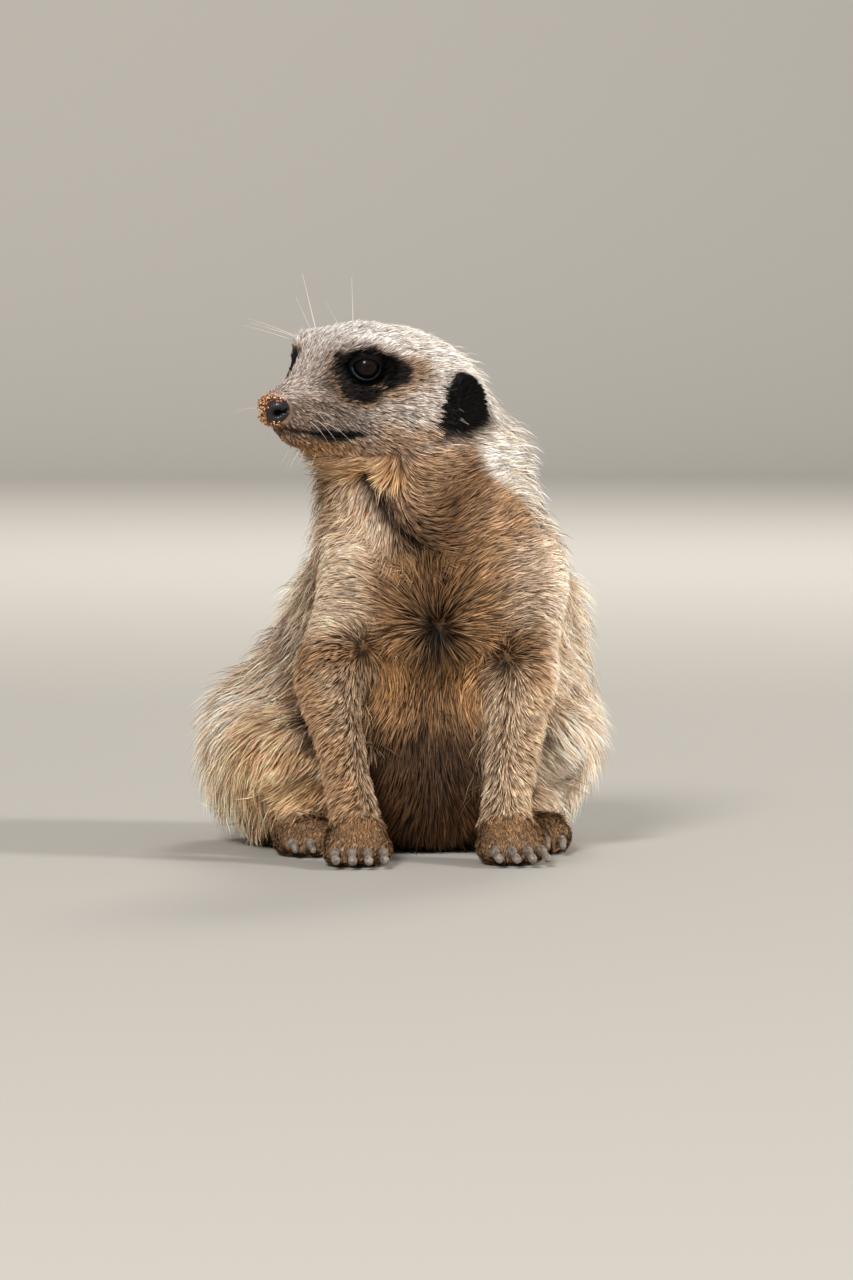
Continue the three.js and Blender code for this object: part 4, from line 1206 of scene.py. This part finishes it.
def build_coat(settings):
    """The coat: soft hair, short hair on the face and feet, and longer guard hair at the sides."""
    rng = np.random.default_rng(SEED)
    skin = SkinData(bpy.data.objects["skin"].data)
    material = fur_material()
    thickness = settings.coat.thickness * QUICK_SHARE
    density = zone_value(skin.zones, "density") * thickness
    head = share_of(skin.zones, "head")
    short = np.clip(bareness(skin.points) * head + share_of(skin.zones, "foot", "ear"), 0, 1)
    is_short = fade(short, 0.3, 0.6)
    grow(skin, "coat", density * (1 - is_short), rng, material, settings)
    grow(skin, "short_coat", density * is_short, rng, material, settings)
    body = share_of(skin.zones, "neck", "chest", "rump", "hindleg", "belly")
    sideways = fade(np.abs(skin.normals[:, 0]), 0.45, 0.9)
    edge = body * (0.08 + 0.42 * sideways) * fade(skin.normals[:, 1], -0.9, -0.4)
    nape = head * fade(in_head(skin.points)[:, 1], 30, 42) * 0.5
    grow(skin, "guard_hair", (edge + nape) * thickness, rng, material, settings)


# ------------------------------------------------------------------ eyes, nose, claws and whiskers


CORNEA = 0.055  # how much further the cornea stands out than the ball, against its radius


def build_eyes(settings):
    """Both eyeballs, in the places of the CAD ones, each with its cornea towards its gaze."""
    material = eye_material()
    for side, centre in EYES.items():
        axes = eye_frame(side)
        bm = bmesh.new()
        bmesh.ops.create_uvsphere(bm, u_segments=48, v_segments=32, radius=EYE_RADIUS)
        for vert in bm.verts:
            x, y, z = vert.co
            bulge = 1 + CORNEA * float(fade(z / EYE_RADIUS, 0.70, 0.95))
            vert.co = Vector((np.array([x, y, z * bulge]) @ axes + centre) * MM)
        if np.linalg.det(axes) < 0:
            bmesh.ops.reverse_faces(bm, faces=bm.faces)
        mesh = mesh_from(bm, "eyeball_" + side)
        piece_of("eyeball_" + side, mesh, material, ["eye_" + side])
        set_colour(mesh, "Coat", eye_colours(settings.details, (places(mesh) - centre) @ axes.T))


def eye_colours(details, local):
    """A black eyeball with a dull reddish-brown iris, and a pupil drawn out sideways."""
    across, up = local[:, 0] - 0.3, local[:, 1] + 0.3
    pupil = np.hypot(across / 1.5, up / 1.0)
    iris = np.hypot(across, up) / 2.7
    front = local[:, 2] > 0
    colour = np.tile(np.array(details.eyeball), (len(local), 1))
    colour = mixed(colour, np.array(details.iris), fade(iris, 1.0, 0.65) * front)
    return mixed(colour, np.array(details.pupil), fade(pupil, 1.25, 0.8) * front)


def eye_material():
    """A wet eyeball: dark brown tissue under a clear, smooth cornea that mirrors the key lamp."""
    inputs = {"Roughness": 0.17, "Specular IOR Level": 0.22, "IOR": 1.38}
    return new_material("wet eyeball", inputs, "Coat")[0]


NOSE_PAD = dict(at=(0.0, 1.5, -1.2), radii=(5.9, 5.0, 5.0))  # from the middle of the CAD nose


def build_nose(settings):
    """A nose pad with two nostrils, their side slits and a groove down the middle, and its sand."""
    details = settings.details
    bm = bmesh.new()
    bmesh.ops.create_icosphere(bm, subdivisions=5, radius=1.0)
    ball = np.array([vert.co for vert in bm.verts])
    for vert, place in zip(bm.verts, shape_nose(ball)):
        vert.co = Vector(((place + NOSE_PAD["at"]) @ HEAD_AXES + NOSE) * MM)
    mesh = mesh_from(bm, "nose_pad")
    piece_of("nose_pad", mesh, nose_material(), ["nose"])
    points = places(mesh)
    dusty = sandy(points)
    dust = dusty * fade(waves(points, 0.8, 52), -0.4, 0.8)
    colour = mixed(np.array(details.nose), np.array(details.nose_dust), dust)
    # painted shade: the shallow dents of the nostrils are coloured near-black for the dark of deep holes
    hole = np.clip(nostrils(ball) * 1.3, 0, 1)
    set_colour(mesh, "Coat", mixed(colour, np.array(details.nostril), hole))
    set_colour(mesh, "Gloss", np.repeat(0.5 - 0.5 * hole[:, None], 3, axis=1))
    build_sand(details, points, normals_of(mesh), dusty)


def mirrored(ball):
    """Points of a ball, with those of its right half brought over to the left."""
    return columns(np.abs(ball[:, 0]), ball[:, 1], ball[:, 2])


def nostrils(ball):
    """1 in each nostril on a unit ball and in its slit, which curls back under the wing."""
    hole = near(mirrored(ball), (0.80, -0.58, -0.06), (0.34, 0.34, 0.24))
    slit = near_line(mirrored(ball), (0.85, -0.45, -0.10), (0.99, -0.05, 0.10), 0.13)
    return np.clip(np.maximum(hole * 1.3, slit), 0, 1)


def shape_nose(ball):
    """Presses the nostrils into a ball, swells the wings above them and narrows it below."""
    wing = near(mirrored(ball), (0.72, -0.45, 0.52), 0.34)
    rim = near(mirrored(ball), (0.75, -0.45, -0.52), 0.26)
    groove = ridge(ball[:, 0], 0.09) * fade(ball[:, 2], 0.3, -0.3) * (ball[:, 1] < 0)
    size = 1 + 0.07 * wing + 0.04 * rim - 0.34 * nostrils(ball) - 0.07 * groove
    narrow = columns(1 - 0.25 * np.clip(-ball[:, 2], 0, 1), 1, 1)
    return ball * narrow * NOSE_PAD["radii"] * size[:, None]


def sandy(points):
    """Where sand sticks to the nose: its front and lower rims, but not the nostrils."""
    h = (points - NOSE) @ HEAD_AXES.T - NOSE_PAD["at"]
    blur = 0.8 * waves(points, 1.4, 51)
    ahead = fade(0.66 * h[:, 0] + 0.75 * h[:, 1] + blur, -1.3, -2.9)
    low = fade(h[:, 2] + 0.5 * blur, -2.1, -3.3) * fade(h[:, 1], 3.5, 1.5)
    high = fade(h[:, 2] + 0.5 * blur, 3.0, 4.0) * fade(h[:, 1], 2.5, 0.5)
    strewn = 0.12 * (waves(points, 0.8, 52) > 0.6)
    holes = near(h * [1, 0, 1], (4.2, 0, -0.2), 2.3)
    return np.clip(np.maximum(np.maximum(ahead, 0.9 * low), np.maximum(0.9 * high, strewn)) - holes, 0, 1)


SAND_SHADES = ("#b8743f", "#d99a64", "#efcda4", "#8a5331")


def build_sand(details, points, normals, dusty):
    """Grains of dry sand stuck to the nose, each a small rough lump."""
    rng = np.random.default_rng(SEED + 2)
    chosen = rng.choice(len(points), details.grains, p=dusty**2 / (dusty**2).sum())
    bm = bmesh.new()
    for index in chosen:
        size = rng.uniform(0.10, 0.30)
        made = bmesh.ops.create_icosphere(bm, subdivisions=1, radius=size)
        at = points[index] + rng.normal(0, 0.25, 3) + normals[index] * rng.uniform(-0.3, 0.8) * size
        stretch = rng.uniform(0.7, 1.3, 3)
        for vert in made["verts"]:
            vert.co = Vector((np.array(vert.co) * stretch * rng.uniform(0.85, 1.15) + at) * MM)
    mesh = mesh_from(bm, "sand_on_nose")
    piece_of("sand_on_nose", mesh, sand_material())
    shades = np.array([linear(shade) for shade in SAND_SHADES])
    per = len(mesh.vertices) // len(chosen)
    set_colour(mesh, "Coat", np.repeat(shades[rng.integers(0, 4, len(chosen))], per, axis=0))


def sand_material():
    """Dry quartz sand: dull, each grain of its own brown."""
    return new_material("dry sand", {"Roughness": 0.8, "Specular IOR Level": 0.3}, "Coat")[0]


PEBBLES = 0.45  # mm from one to the next on the nose leather


def nose_material():
    """Nose leather: damp, pebbled black skin, with no gloss inside the nostrils."""
    material, tree, shader = new_material("damp nose leather", {"Roughness": 0.33}, "Coat")
    place = add_node(tree, "ShaderNodeTexCoord")
    pebbles = add_node(tree, "ShaderNodeTexVoronoi", inputs={
        "Vector": place.outputs["Object"], "Scale": 1 / (PEBBLES * MM)})
    bump = add_node(tree, "ShaderNodeBump", inputs={
        "Height": pebbles.outputs["Distance"], "Strength": 0.5, "Distance": 0.12 * MM})
    gloss = add_node(tree, "ShaderNodeAttribute", {"attribute_name": "Gloss"})
    feed(tree, shader, {"Normal": bump.outputs[0], "Specular IOR Level": gloss.outputs["Fac"]})
    return material


HORN_GRAIN = 1.2  # mm: bands of the horn, as its single layers are too fine to show


def claw_material(details):
    """Horn: grey, grown in fine layers along the claw, and worn smooth."""
    inputs = {"Roughness": 0.35, "Specular IOR Level": 0.5}
    material, tree, shader = new_material("claw horn", inputs)
    place = add_node(tree, "ShaderNodeTexCoord")
    bands = add_node(tree, "ShaderNodeTexNoise", inputs={
        "Vector": place.outputs["Object"], "Scale": 1 / (HORN_GRAIN * MM)})
    # socket 0 is the value, 1 and 2 are its range, and 3 and 4 the range that it is brought to
    amount = add_node(tree, "ShaderNodeMapRange", inputs={
        0: bands.outputs["Fac"], 1: 0.3, 2: 0.7, 3: 0.0, 4: 1.0})
    # socket 0 is the share, and 6 and 7 are the two colours
    colour = add_node(tree, "ShaderNodeMix", {"data_type": "RGBA"}, {
        0: amount.outputs[0], 6: (*details.claw_dark, 1), 7: (*details.claw_pale, 1)})
    feed(tree, shader, {"Base Color": colour.outputs[2]})
    return material


def build_claws(settings):
    """Smooth claws from merged copies of the CAD ones, one piece to a foot."""
    material = claw_material(settings.details)
    for foot in ("forefoot_left", "forefoot_right", "hindfoot_left", "hindfoot_right"):
        nodes = sorted(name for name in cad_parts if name.startswith("claw_" + foot))
        bm = bmesh.new()
        for node in nodes:
            bm.from_mesh(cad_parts[node].data)
        bmesh.ops.remove_doubles(bm, verts=bm.verts, dist=1e-6)
        bmesh.ops.subdivide_edges(bm, edges=bm.edges, cuts=2, smooth=0.6, use_grid_fill=True)
        bmesh.ops.smooth_vert(bm, verts=bm.verts, factor=0.5,
                              use_axis_x=True, use_axis_y=True, use_axis_z=True)
        piece_of("claws_" + foot, mesh_from(bm, "claws_" + foot), material, nodes)


def whisker_material(details):
    """Whiskers: stiff, smooth bristles, pale and slightly glossy."""
    inputs = {"Base Color": (*details.whisker, 1), "Roughness": 0.35, "Specular IOR Level": 0.5}
    return new_material("whisker keratin", inputs)[0]


BRISTLE_WAY = np.array([3.0, -3.1, 18.0])  # of the tallest bristle of the left brow

# Rows of whiskers in the head's own frame, in mm: the first and last root, how many, the way they
# point, their length, how far they sag and how thick they are at the root
WHISKERS = [
    dict(start=(8.5, -5.0, 8.8), end=(9.5, -3.0, 9.6), count=1,
         way=(0.10, -0.42, 0.90), length=17, sag=0, thick=0.15),
    dict(start=(10, -7.5, 6.0), end=(11.5, -5.0, 7.0), count=3,
         way=(0.55, -0.95, 0.30), length=19, sag=1, thick=0.15),
    dict(start=(7.0, -20.0, -13.0), end=(8.5, -14.0, -13.5), count=3,
         way=(1, -0.35, 0.10), length=16, sag=4, thick=0.10),
    dict(start=(6.5, -19.5, -16.0), end=(8.5, -12.0, -17.0), count=3,
         way=(1, 0.15, -0.15), length=12, sag=4, thick=0.10),
    dict(start=(1.5, -18.0, -25.0), end=(3.5, -12.0, -27.0), count=3,
         way=(0.2, -0.75, -1), length=7, sag=1, thick=0.12),
    dict(start=(18.0, 5.0, -14.5), end=(20.0, 8.0, -17.0), count=2,
         way=(0.7, 0.9, -0.3), length=13, sag=3, thick=0.11),
    dict(start=(26.5, 18.0, -9.0), end=(28.0, 19.5, -21.0), count=9,
         way=(0.30, 1, -0.45), length=9, sag=1, thick=0.11),
]
TALLEST_THICK = 0.26  # mm, of the two bristles that the CAD has
BRISTLE_STEPS = 9
BRISTLE_ROOTED = 0.6  # mm by which a bristle starts below the skin


def build_whiskers(settings):
    """The whiskers, the brow bristles and the white hairs across the ears, as one piece."""
    rng = np.random.default_rng(SEED + 1)
    skin = bpy.data.objects["skin"].data
    tree = BVHTree.FromPolygons([v.co for v in skin.vertices], [p.vertices for p in skin.polygons])
    bm = bmesh.new()
    for row in WHISKERS:
        for sign in (1, -1):
            for i in range(row["count"]):
                t = (i + 0.5) / row["count"]
                at = np.array(row["start"]) * (1 - t) + np.array(row["end"]) * t + rng.normal(0, 0.5, 3)
                way = unit(np.array(row["way"]) + rng.normal(0, 0.10, 3)) * [sign, 1, 1]
                root = tree.find_nearest(Vector(from_head(at * [sign, 1, 1]) * MM))[0]
                length = row["length"] * rng.uniform(0.7, 1.2)
                bristle(bm, np.array(root) / MM, way @ HEAD_AXES, length, row["sag"], row["thick"])
    for side, sign in (("left", 1), ("right", -1)):
        low, high = spot("bristle_" + side, 0.5, 0.5, 0), spot("bristle_" + side, 0.5, 0.5, 1)
        way = unit(BRISTLE_WAY * [sign, 1, 1] @ HEAD_AXES)
        length = (high[2] - low[2]) / way[2]
        bristle(bm, (low + high) / 2 - way * length / 2, way, length, 0.0, TALLEST_THICK)
    piece_of("whiskers", mesh_from(bm, "whiskers"), whisker_material(settings.details),
             ["bristle_left", "bristle_right"])


def bristle(bm, root, way, length, sag, thick):
    """Adds one tapered bristle of square section, ring by ring, closed at both ends."""
    side = unit(np.cross(way, [0.1, 0.2, 1.0]))
    up = np.cross(side, way)
    rings = []
    for i in range(BRISTLE_STEPS + 1):
        t = i / BRISTLE_STEPS
        middle = root + way * (length * t - BRISTLE_ROOTED) - np.array([0, 0, sag]) * t * t
        r = thick * (1 - 0.8 * t)
        corners = [side * r, up * r, -side * r, -up * r]
        rings.append([bm.verts.new((middle + corner) * MM) for corner in corners])
    for a, b in zip(rings, rings[1:]):
        for j in range(4):
            bm.faces.new((a[j], a[(j + 1) % 4], b[(j + 1) % 4], b[j]))
    bm.faces.new(rings[0][::-1])
    bm.faces.new(rings[-1])


# ------------------------------------------------------------------ the studio, in metres

FLOOR_SIDE = 12.0  # from the middle to each side
FLOOR_FRONT = -8.0
WALL_AT = 4.6
WALL_HEIGHT = 4.0
COVE = 0.8  # how far before the wall the floor begins to turn up

ANIMAL = (0, -0.12, 0.07)  # the point that most lamps are aimed at
# The lamps: where each stands, what it is aimed at, how wide it is, and its power against the key's
LAMPS = {
    "key": dict(at=(-1.2, -2.6, 1.9), aim=ANIMAL, size=0.8, share=1.0),
    "side": dict(at=(2.5, -1.3, 1.25), aim=ANIMAL, size=0.7, share=0.86),
    "rim": dict(at=(0.8, 2.2, 1.9), aim=ANIMAL, size=0.8, share=0.52),
    "backdrop": dict(at=(0, 1.9, 2.6), aim=(0, WALL_AT, 1.3), size=1.6, share=0.8),
}

CAMERA_AIM = np.array([22.0, 24.7, -85.0])  # mm from the left eye to what the camera looks at
CAMERA_AZIMUTH = math.radians(-8)
CAMERA_RISE = math.radians(3)
CAMERA_DISTANCE = 2.2
LENS = 200  # mm
SENSOR = 36  # mm


def build_stage(settings):
    """The studio: a pale floor that turns up into a backdrop, the light and the camera."""
    scene = bpy.context.scene
    build_floor(settings.studio)
    world = bpy.data.worlds.new("studio")
    scene.world = world
    world.use_nodes = True
    sky = world.node_tree.nodes["Background"]
    feed(world.node_tree, sky, {"Color": (1.0, 0.99, 0.98, 1), "Strength": settings.studio.world})
    for name, lamp in LAMPS.items():
        add_lamp(name, lamp, settings.studio)
    add_camera()
    scene.view_settings.view_transform = "Standard"


def build_floor(studio):
    """Matt paint on a smooth floor and wall, with a rounded cove between them."""
    bm = bmesh.new()
    corners = [(-1, FLOOR_FRONT), (1, FLOOR_FRONT), (1, WALL_AT), (-1, WALL_AT)]
    face = bm.faces.new([bm.verts.new((side * FLOOR_SIDE, y, 0)) for side, y in corners])
    back = [edge for edge in face.edges if all(vert.co.y > 0 for vert in edge.verts)]
    risen = bmesh.ops.extrude_edge_only(bm, edges=back)["geom"]
    top = [part for part in risen if isinstance(part, bmesh.types.BMVert)]
    bmesh.ops.translate(bm, vec=(0, 0, WALL_HEIGHT), verts=top)
    bm.edges.ensure_lookup_table()
    bmesh.ops.bevel(bm, geom=back, offset=COVE, segments=24, profile=0.5, affect="EDGES", material=-1)
    mesh = mesh_from(bm, "studio_floor")
    mesh.polygons.foreach_set("use_smooth", np.ones(len(mesh.polygons), bool))
    floor = bpy.data.objects.new("studio_floor", mesh)
    bpy.context.scene.collection.objects.link(floor)
    inputs = {"Base Color": (*studio.floor, 1), "Roughness": 0.8, "Specular IOR Level": 0.2}
    mesh.materials.append(new_material("painted studio floor", inputs)[0])


def add_lamp(name, lamp, studio):
    """Adds one round soft lamp. Only the key lamp shows in the eyes."""
    data = bpy.data.lights.new(name, "AREA")
    data.shape = "DISK"
    data.size = lamp["size"]
    data.energy = studio.key * lamp["share"]
    data.color = studio.lamps
    made = bpy.data.objects.new(name, data)
    bpy.context.scene.collection.objects.link(made)
    made.location = lamp["at"]
    made.visible_glossy = name == "key"
    way = Vector(lamp["aim"]) - Vector(lamp["at"])
    made.rotation_euler = way.to_track_quat("-Z", "Y").to_euler()


def add_camera():
    """Adds the camera, a long lens from in front and a little above."""
    data = bpy.data.cameras.new("camera")
    data.lens = LENS
    data.sensor_width = SENSOR
    data.clip_end = 20
    camera = bpy.data.objects.new("camera", data)
    bpy.context.scene.collection.objects.link(camera)
    target = Vector((EYES["left"] + CAMERA_AIM) * MM)
    level = math.cos(CAMERA_RISE)
    back = Vector((math.sin(CAMERA_AZIMUTH) * level, -math.cos(CAMERA_AZIMUTH) * level,
                   math.sin(CAMERA_RISE)))
    camera.location = target + back * CAMERA_DISTANCE
    camera.rotation_euler = (-back).to_track_quat("-Z", "Y").to_euler()
    bpy.context.scene.camera = camera


# ------------------------------------------------------------------ the settings


def colour_property(name, description, value):
    """A colour that a user may change, with its default as #rrggbb."""
    return FloatVectorProperty(name=name, description=description, subtype="COLOR", size=3,
                               min=0.0, max=1.0, default=tuple(linear(value)))


class MeerkatCoat(bpy.types.PropertyGroup):
    """The sizes of the skin's mesh and of the coat"""

    voxel: FloatProperty(
        name="Skin grain", description="Edge length of the skin's mesh",
        default=0.0013, min=0.0008, max=0.003, precision=4, unit="LENGTH")
    thickness: FloatProperty(
        name="Thickness", description="How many hairs stand on an area, against the usual number",
        default=1.0, min=0.1, max=1.2, subtype="FACTOR")
    length: FloatProperty(
        name="Length", description="How long the hairs are, against their usual length",
        default=1.0, min=0.3, max=2.0, subtype="FACTOR")


class MeerkatHair(bpy.types.PropertyGroup):
    """The colours of each marking, at the tips of the hair and at its roots"""

    __annotations__ = {
        f"{name}_{end}": colour_property(
            f"{name.replace('_', ' ').capitalize()}, {end}s",
            f"Colour of the {end}s of the hair in the {name.replace('_', ' ')} marking", value)
        for name, pair in COLOURS.items()
        for end, value in zip(("tip", "root"), pair)
    }


class MeerkatDetails(bpy.types.PropertyGroup):
    """The colours of the eyes, nose, claws and whiskers, and how much sand sticks to the nose"""

    eyeball: colour_property("Eyeball", "Colour of the eyeball round the iris", "#060505")
    iris: colour_property("Iris", "Colour of the iris", "#190f0b")
    pupil: colour_property("Pupil", "Colour of the pupil", "#090606")
    nose: colour_property("Nose leather", "Colour of the clean nose pad", "#211c1e")
    nose_dust: colour_property("Dusty nose", "Colour of the nose pad under dust", "#6b4630")
    # painted shade inside the nostrils
    nostril: colour_property("Nostrils", "Colour inside the nostrils", "#060404")
    claw_dark: colour_property("Claws, dark", "Colour of the dark bands of the horn", "#514840")
    claw_pale: colour_property("Claws, pale", "Colour of the pale bands of the horn", "#988c7f")
    whisker: colour_property("Whiskers", "Colour of the whiskers and brow bristles", "#d8cec2")
    grains: IntProperty(
        name="Grains of sand", description="How many grains of sand stick to the nose",
        default=1100, min=1, max=3000)


class MeerkatStudio(bpy.types.PropertyGroup):
    """The colour of the studio and the strength of its light"""

    floor: colour_property("Floor and backdrop", "Colour of the painted floor and wall", "#aba7a0")
    lamps: colour_property("Lamps", "Colour of the light of all lamps", "#fffdfa")
    key: FloatProperty(
        name="Key lamp", description="Power of the main lamp, which the others follow",
        default=90.0, min=0.0, max=500.0, unit="POWER")
    world: FloatProperty(
        name="Light from all round", description="Strength of the light that comes from everywhere",
        default=0.38, min=0.0, max=1.0)


class MeerkatSettings(bpy.types.PropertyGroup):
    """All that a user may change, in groups"""

    coat: PointerProperty(type=MeerkatCoat, name="Coat", description="Sizes of the skin and coat")
    hair: PointerProperty(type=MeerkatHair, name="Hair", description="Colours of the markings")
    details: PointerProperty(type=MeerkatDetails, name="Details", description="Eyes, nose and claws")
    studio: PointerProperty(type=MeerkatStudio, name="Studio", description="Floor and light")


# ------------------------------------------------------------------ the add-on


class MEERKAT_OT_skin(bpy.types.Operator):
    """Builds the one skin under the coat, with its lids, mouth and ears"""

    bl_idname = "meerkat.skin"
    bl_label = "Skin"

    def execute(self, context):
        """Runs build_skin."""
        build_skin(context.scene.meerkat)
        return {"FINISHED"}


class MEERKAT_OT_eyes(bpy.types.Operator):
    """Builds both eyeballs"""

    bl_idname = "meerkat.eyes"
    bl_label = "Eyes"

    def execute(self, context):
        """Runs build_eyes."""
        build_eyes(context.scene.meerkat)
        return {"FINISHED"}


class MEERKAT_OT_nose(bpy.types.Operator):
    """Builds the nose pad and the sand on it"""

    bl_idname = "meerkat.nose"
    bl_label = "Nose"

    def execute(self, context):
        """Runs build_nose."""
        build_nose(context.scene.meerkat)
        return {"FINISHED"}


class MEERKAT_OT_claws(bpy.types.Operator):
    """Builds the claws of all four feet"""

    bl_idname = "meerkat.claws"
    bl_label = "Claws"

    def execute(self, context):
        """Runs build_claws."""
        build_claws(context.scene.meerkat)
        return {"FINISHED"}


class MEERKAT_OT_coat(bpy.types.Operator):
    """Grows the coat over the skin"""

    bl_idname = "meerkat.coat"
    bl_label = "Coat"

    def execute(self, context):
        """Runs build_coat, which needs the skin."""
        build_coat(context.scene.meerkat)
        return {"FINISHED"}


class MEERKAT_OT_whiskers(bpy.types.Operator):
    """Grows the whiskers and brow bristles"""

    bl_idname = "meerkat.whiskers"
    bl_label = "Whiskers"

    def execute(self, context):
        """Runs build_whiskers, which needs the skin."""
        build_whiskers(context.scene.meerkat)
        return {"FINISHED"}


class MEERKAT_OT_stage(bpy.types.Operator):
    """Sets up the floor, the lamps and the camera"""

    bl_idname = "meerkat.stage"
    bl_label = "Studio"

    def execute(self, context):
        """Runs build_stage."""
        build_stage(context.scene.meerkat)
        return {"FINISHED"}


OPERATORS = [
    MEERKAT_OT_skin,
    MEERKAT_OT_eyes,
    MEERKAT_OT_nose,
    MEERKAT_OT_claws,
    MEERKAT_OT_coat,
    MEERKAT_OT_whiskers,
    MEERKAT_OT_stage,
]


class MEERKAT_PT_panel(bpy.types.Panel):
    """Lists the operators, then the sizes and colours"""

    bl_idname = "MEERKAT_PT_panel"
    bl_label = "Meerkat"
    bl_space_type = "VIEW_3D"
    bl_region_type = "UI"
    bl_category = "Meerkat"

    def draw(self, context):
        """Draws a button for each operator and a line for each setting."""
        for made in OPERATORS:
            self.layout.operator(made.bl_idname)
        settings = context.scene.meerkat
        for group in (settings.coat, settings.details, settings.studio, settings.hair):
            for key in type(group).__annotations__:
                self.layout.prop(group, key)


GROUPS = [MeerkatCoat, MeerkatHair, MeerkatDetails, MeerkatStudio, MeerkatSettings]
CLASSES = [*GROUPS, *OPERATORS, MEERKAT_PT_panel]


def register():
    """Registers the classes and gives the scene its settings."""
    for made in CLASSES:
        bpy.utils.register_class(made)
    bpy.types.Scene.meerkat = PointerProperty(type=MeerkatSettings)


def unregister():
    """Takes all that back."""
    del bpy.types.Scene.meerkat
    for made in reversed(CLASSES):
        bpy.utils.unregister_class(made)


def main():
    """Registers the add-on and builds every piece in turn."""
    register()
    for name in ("skin", "eyes", "nose", "claws", "coat", "whiskers", "stage"):
        getattr(bpy.ops.meerkat, name)()
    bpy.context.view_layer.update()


if __name__ == "__main__":
    main()
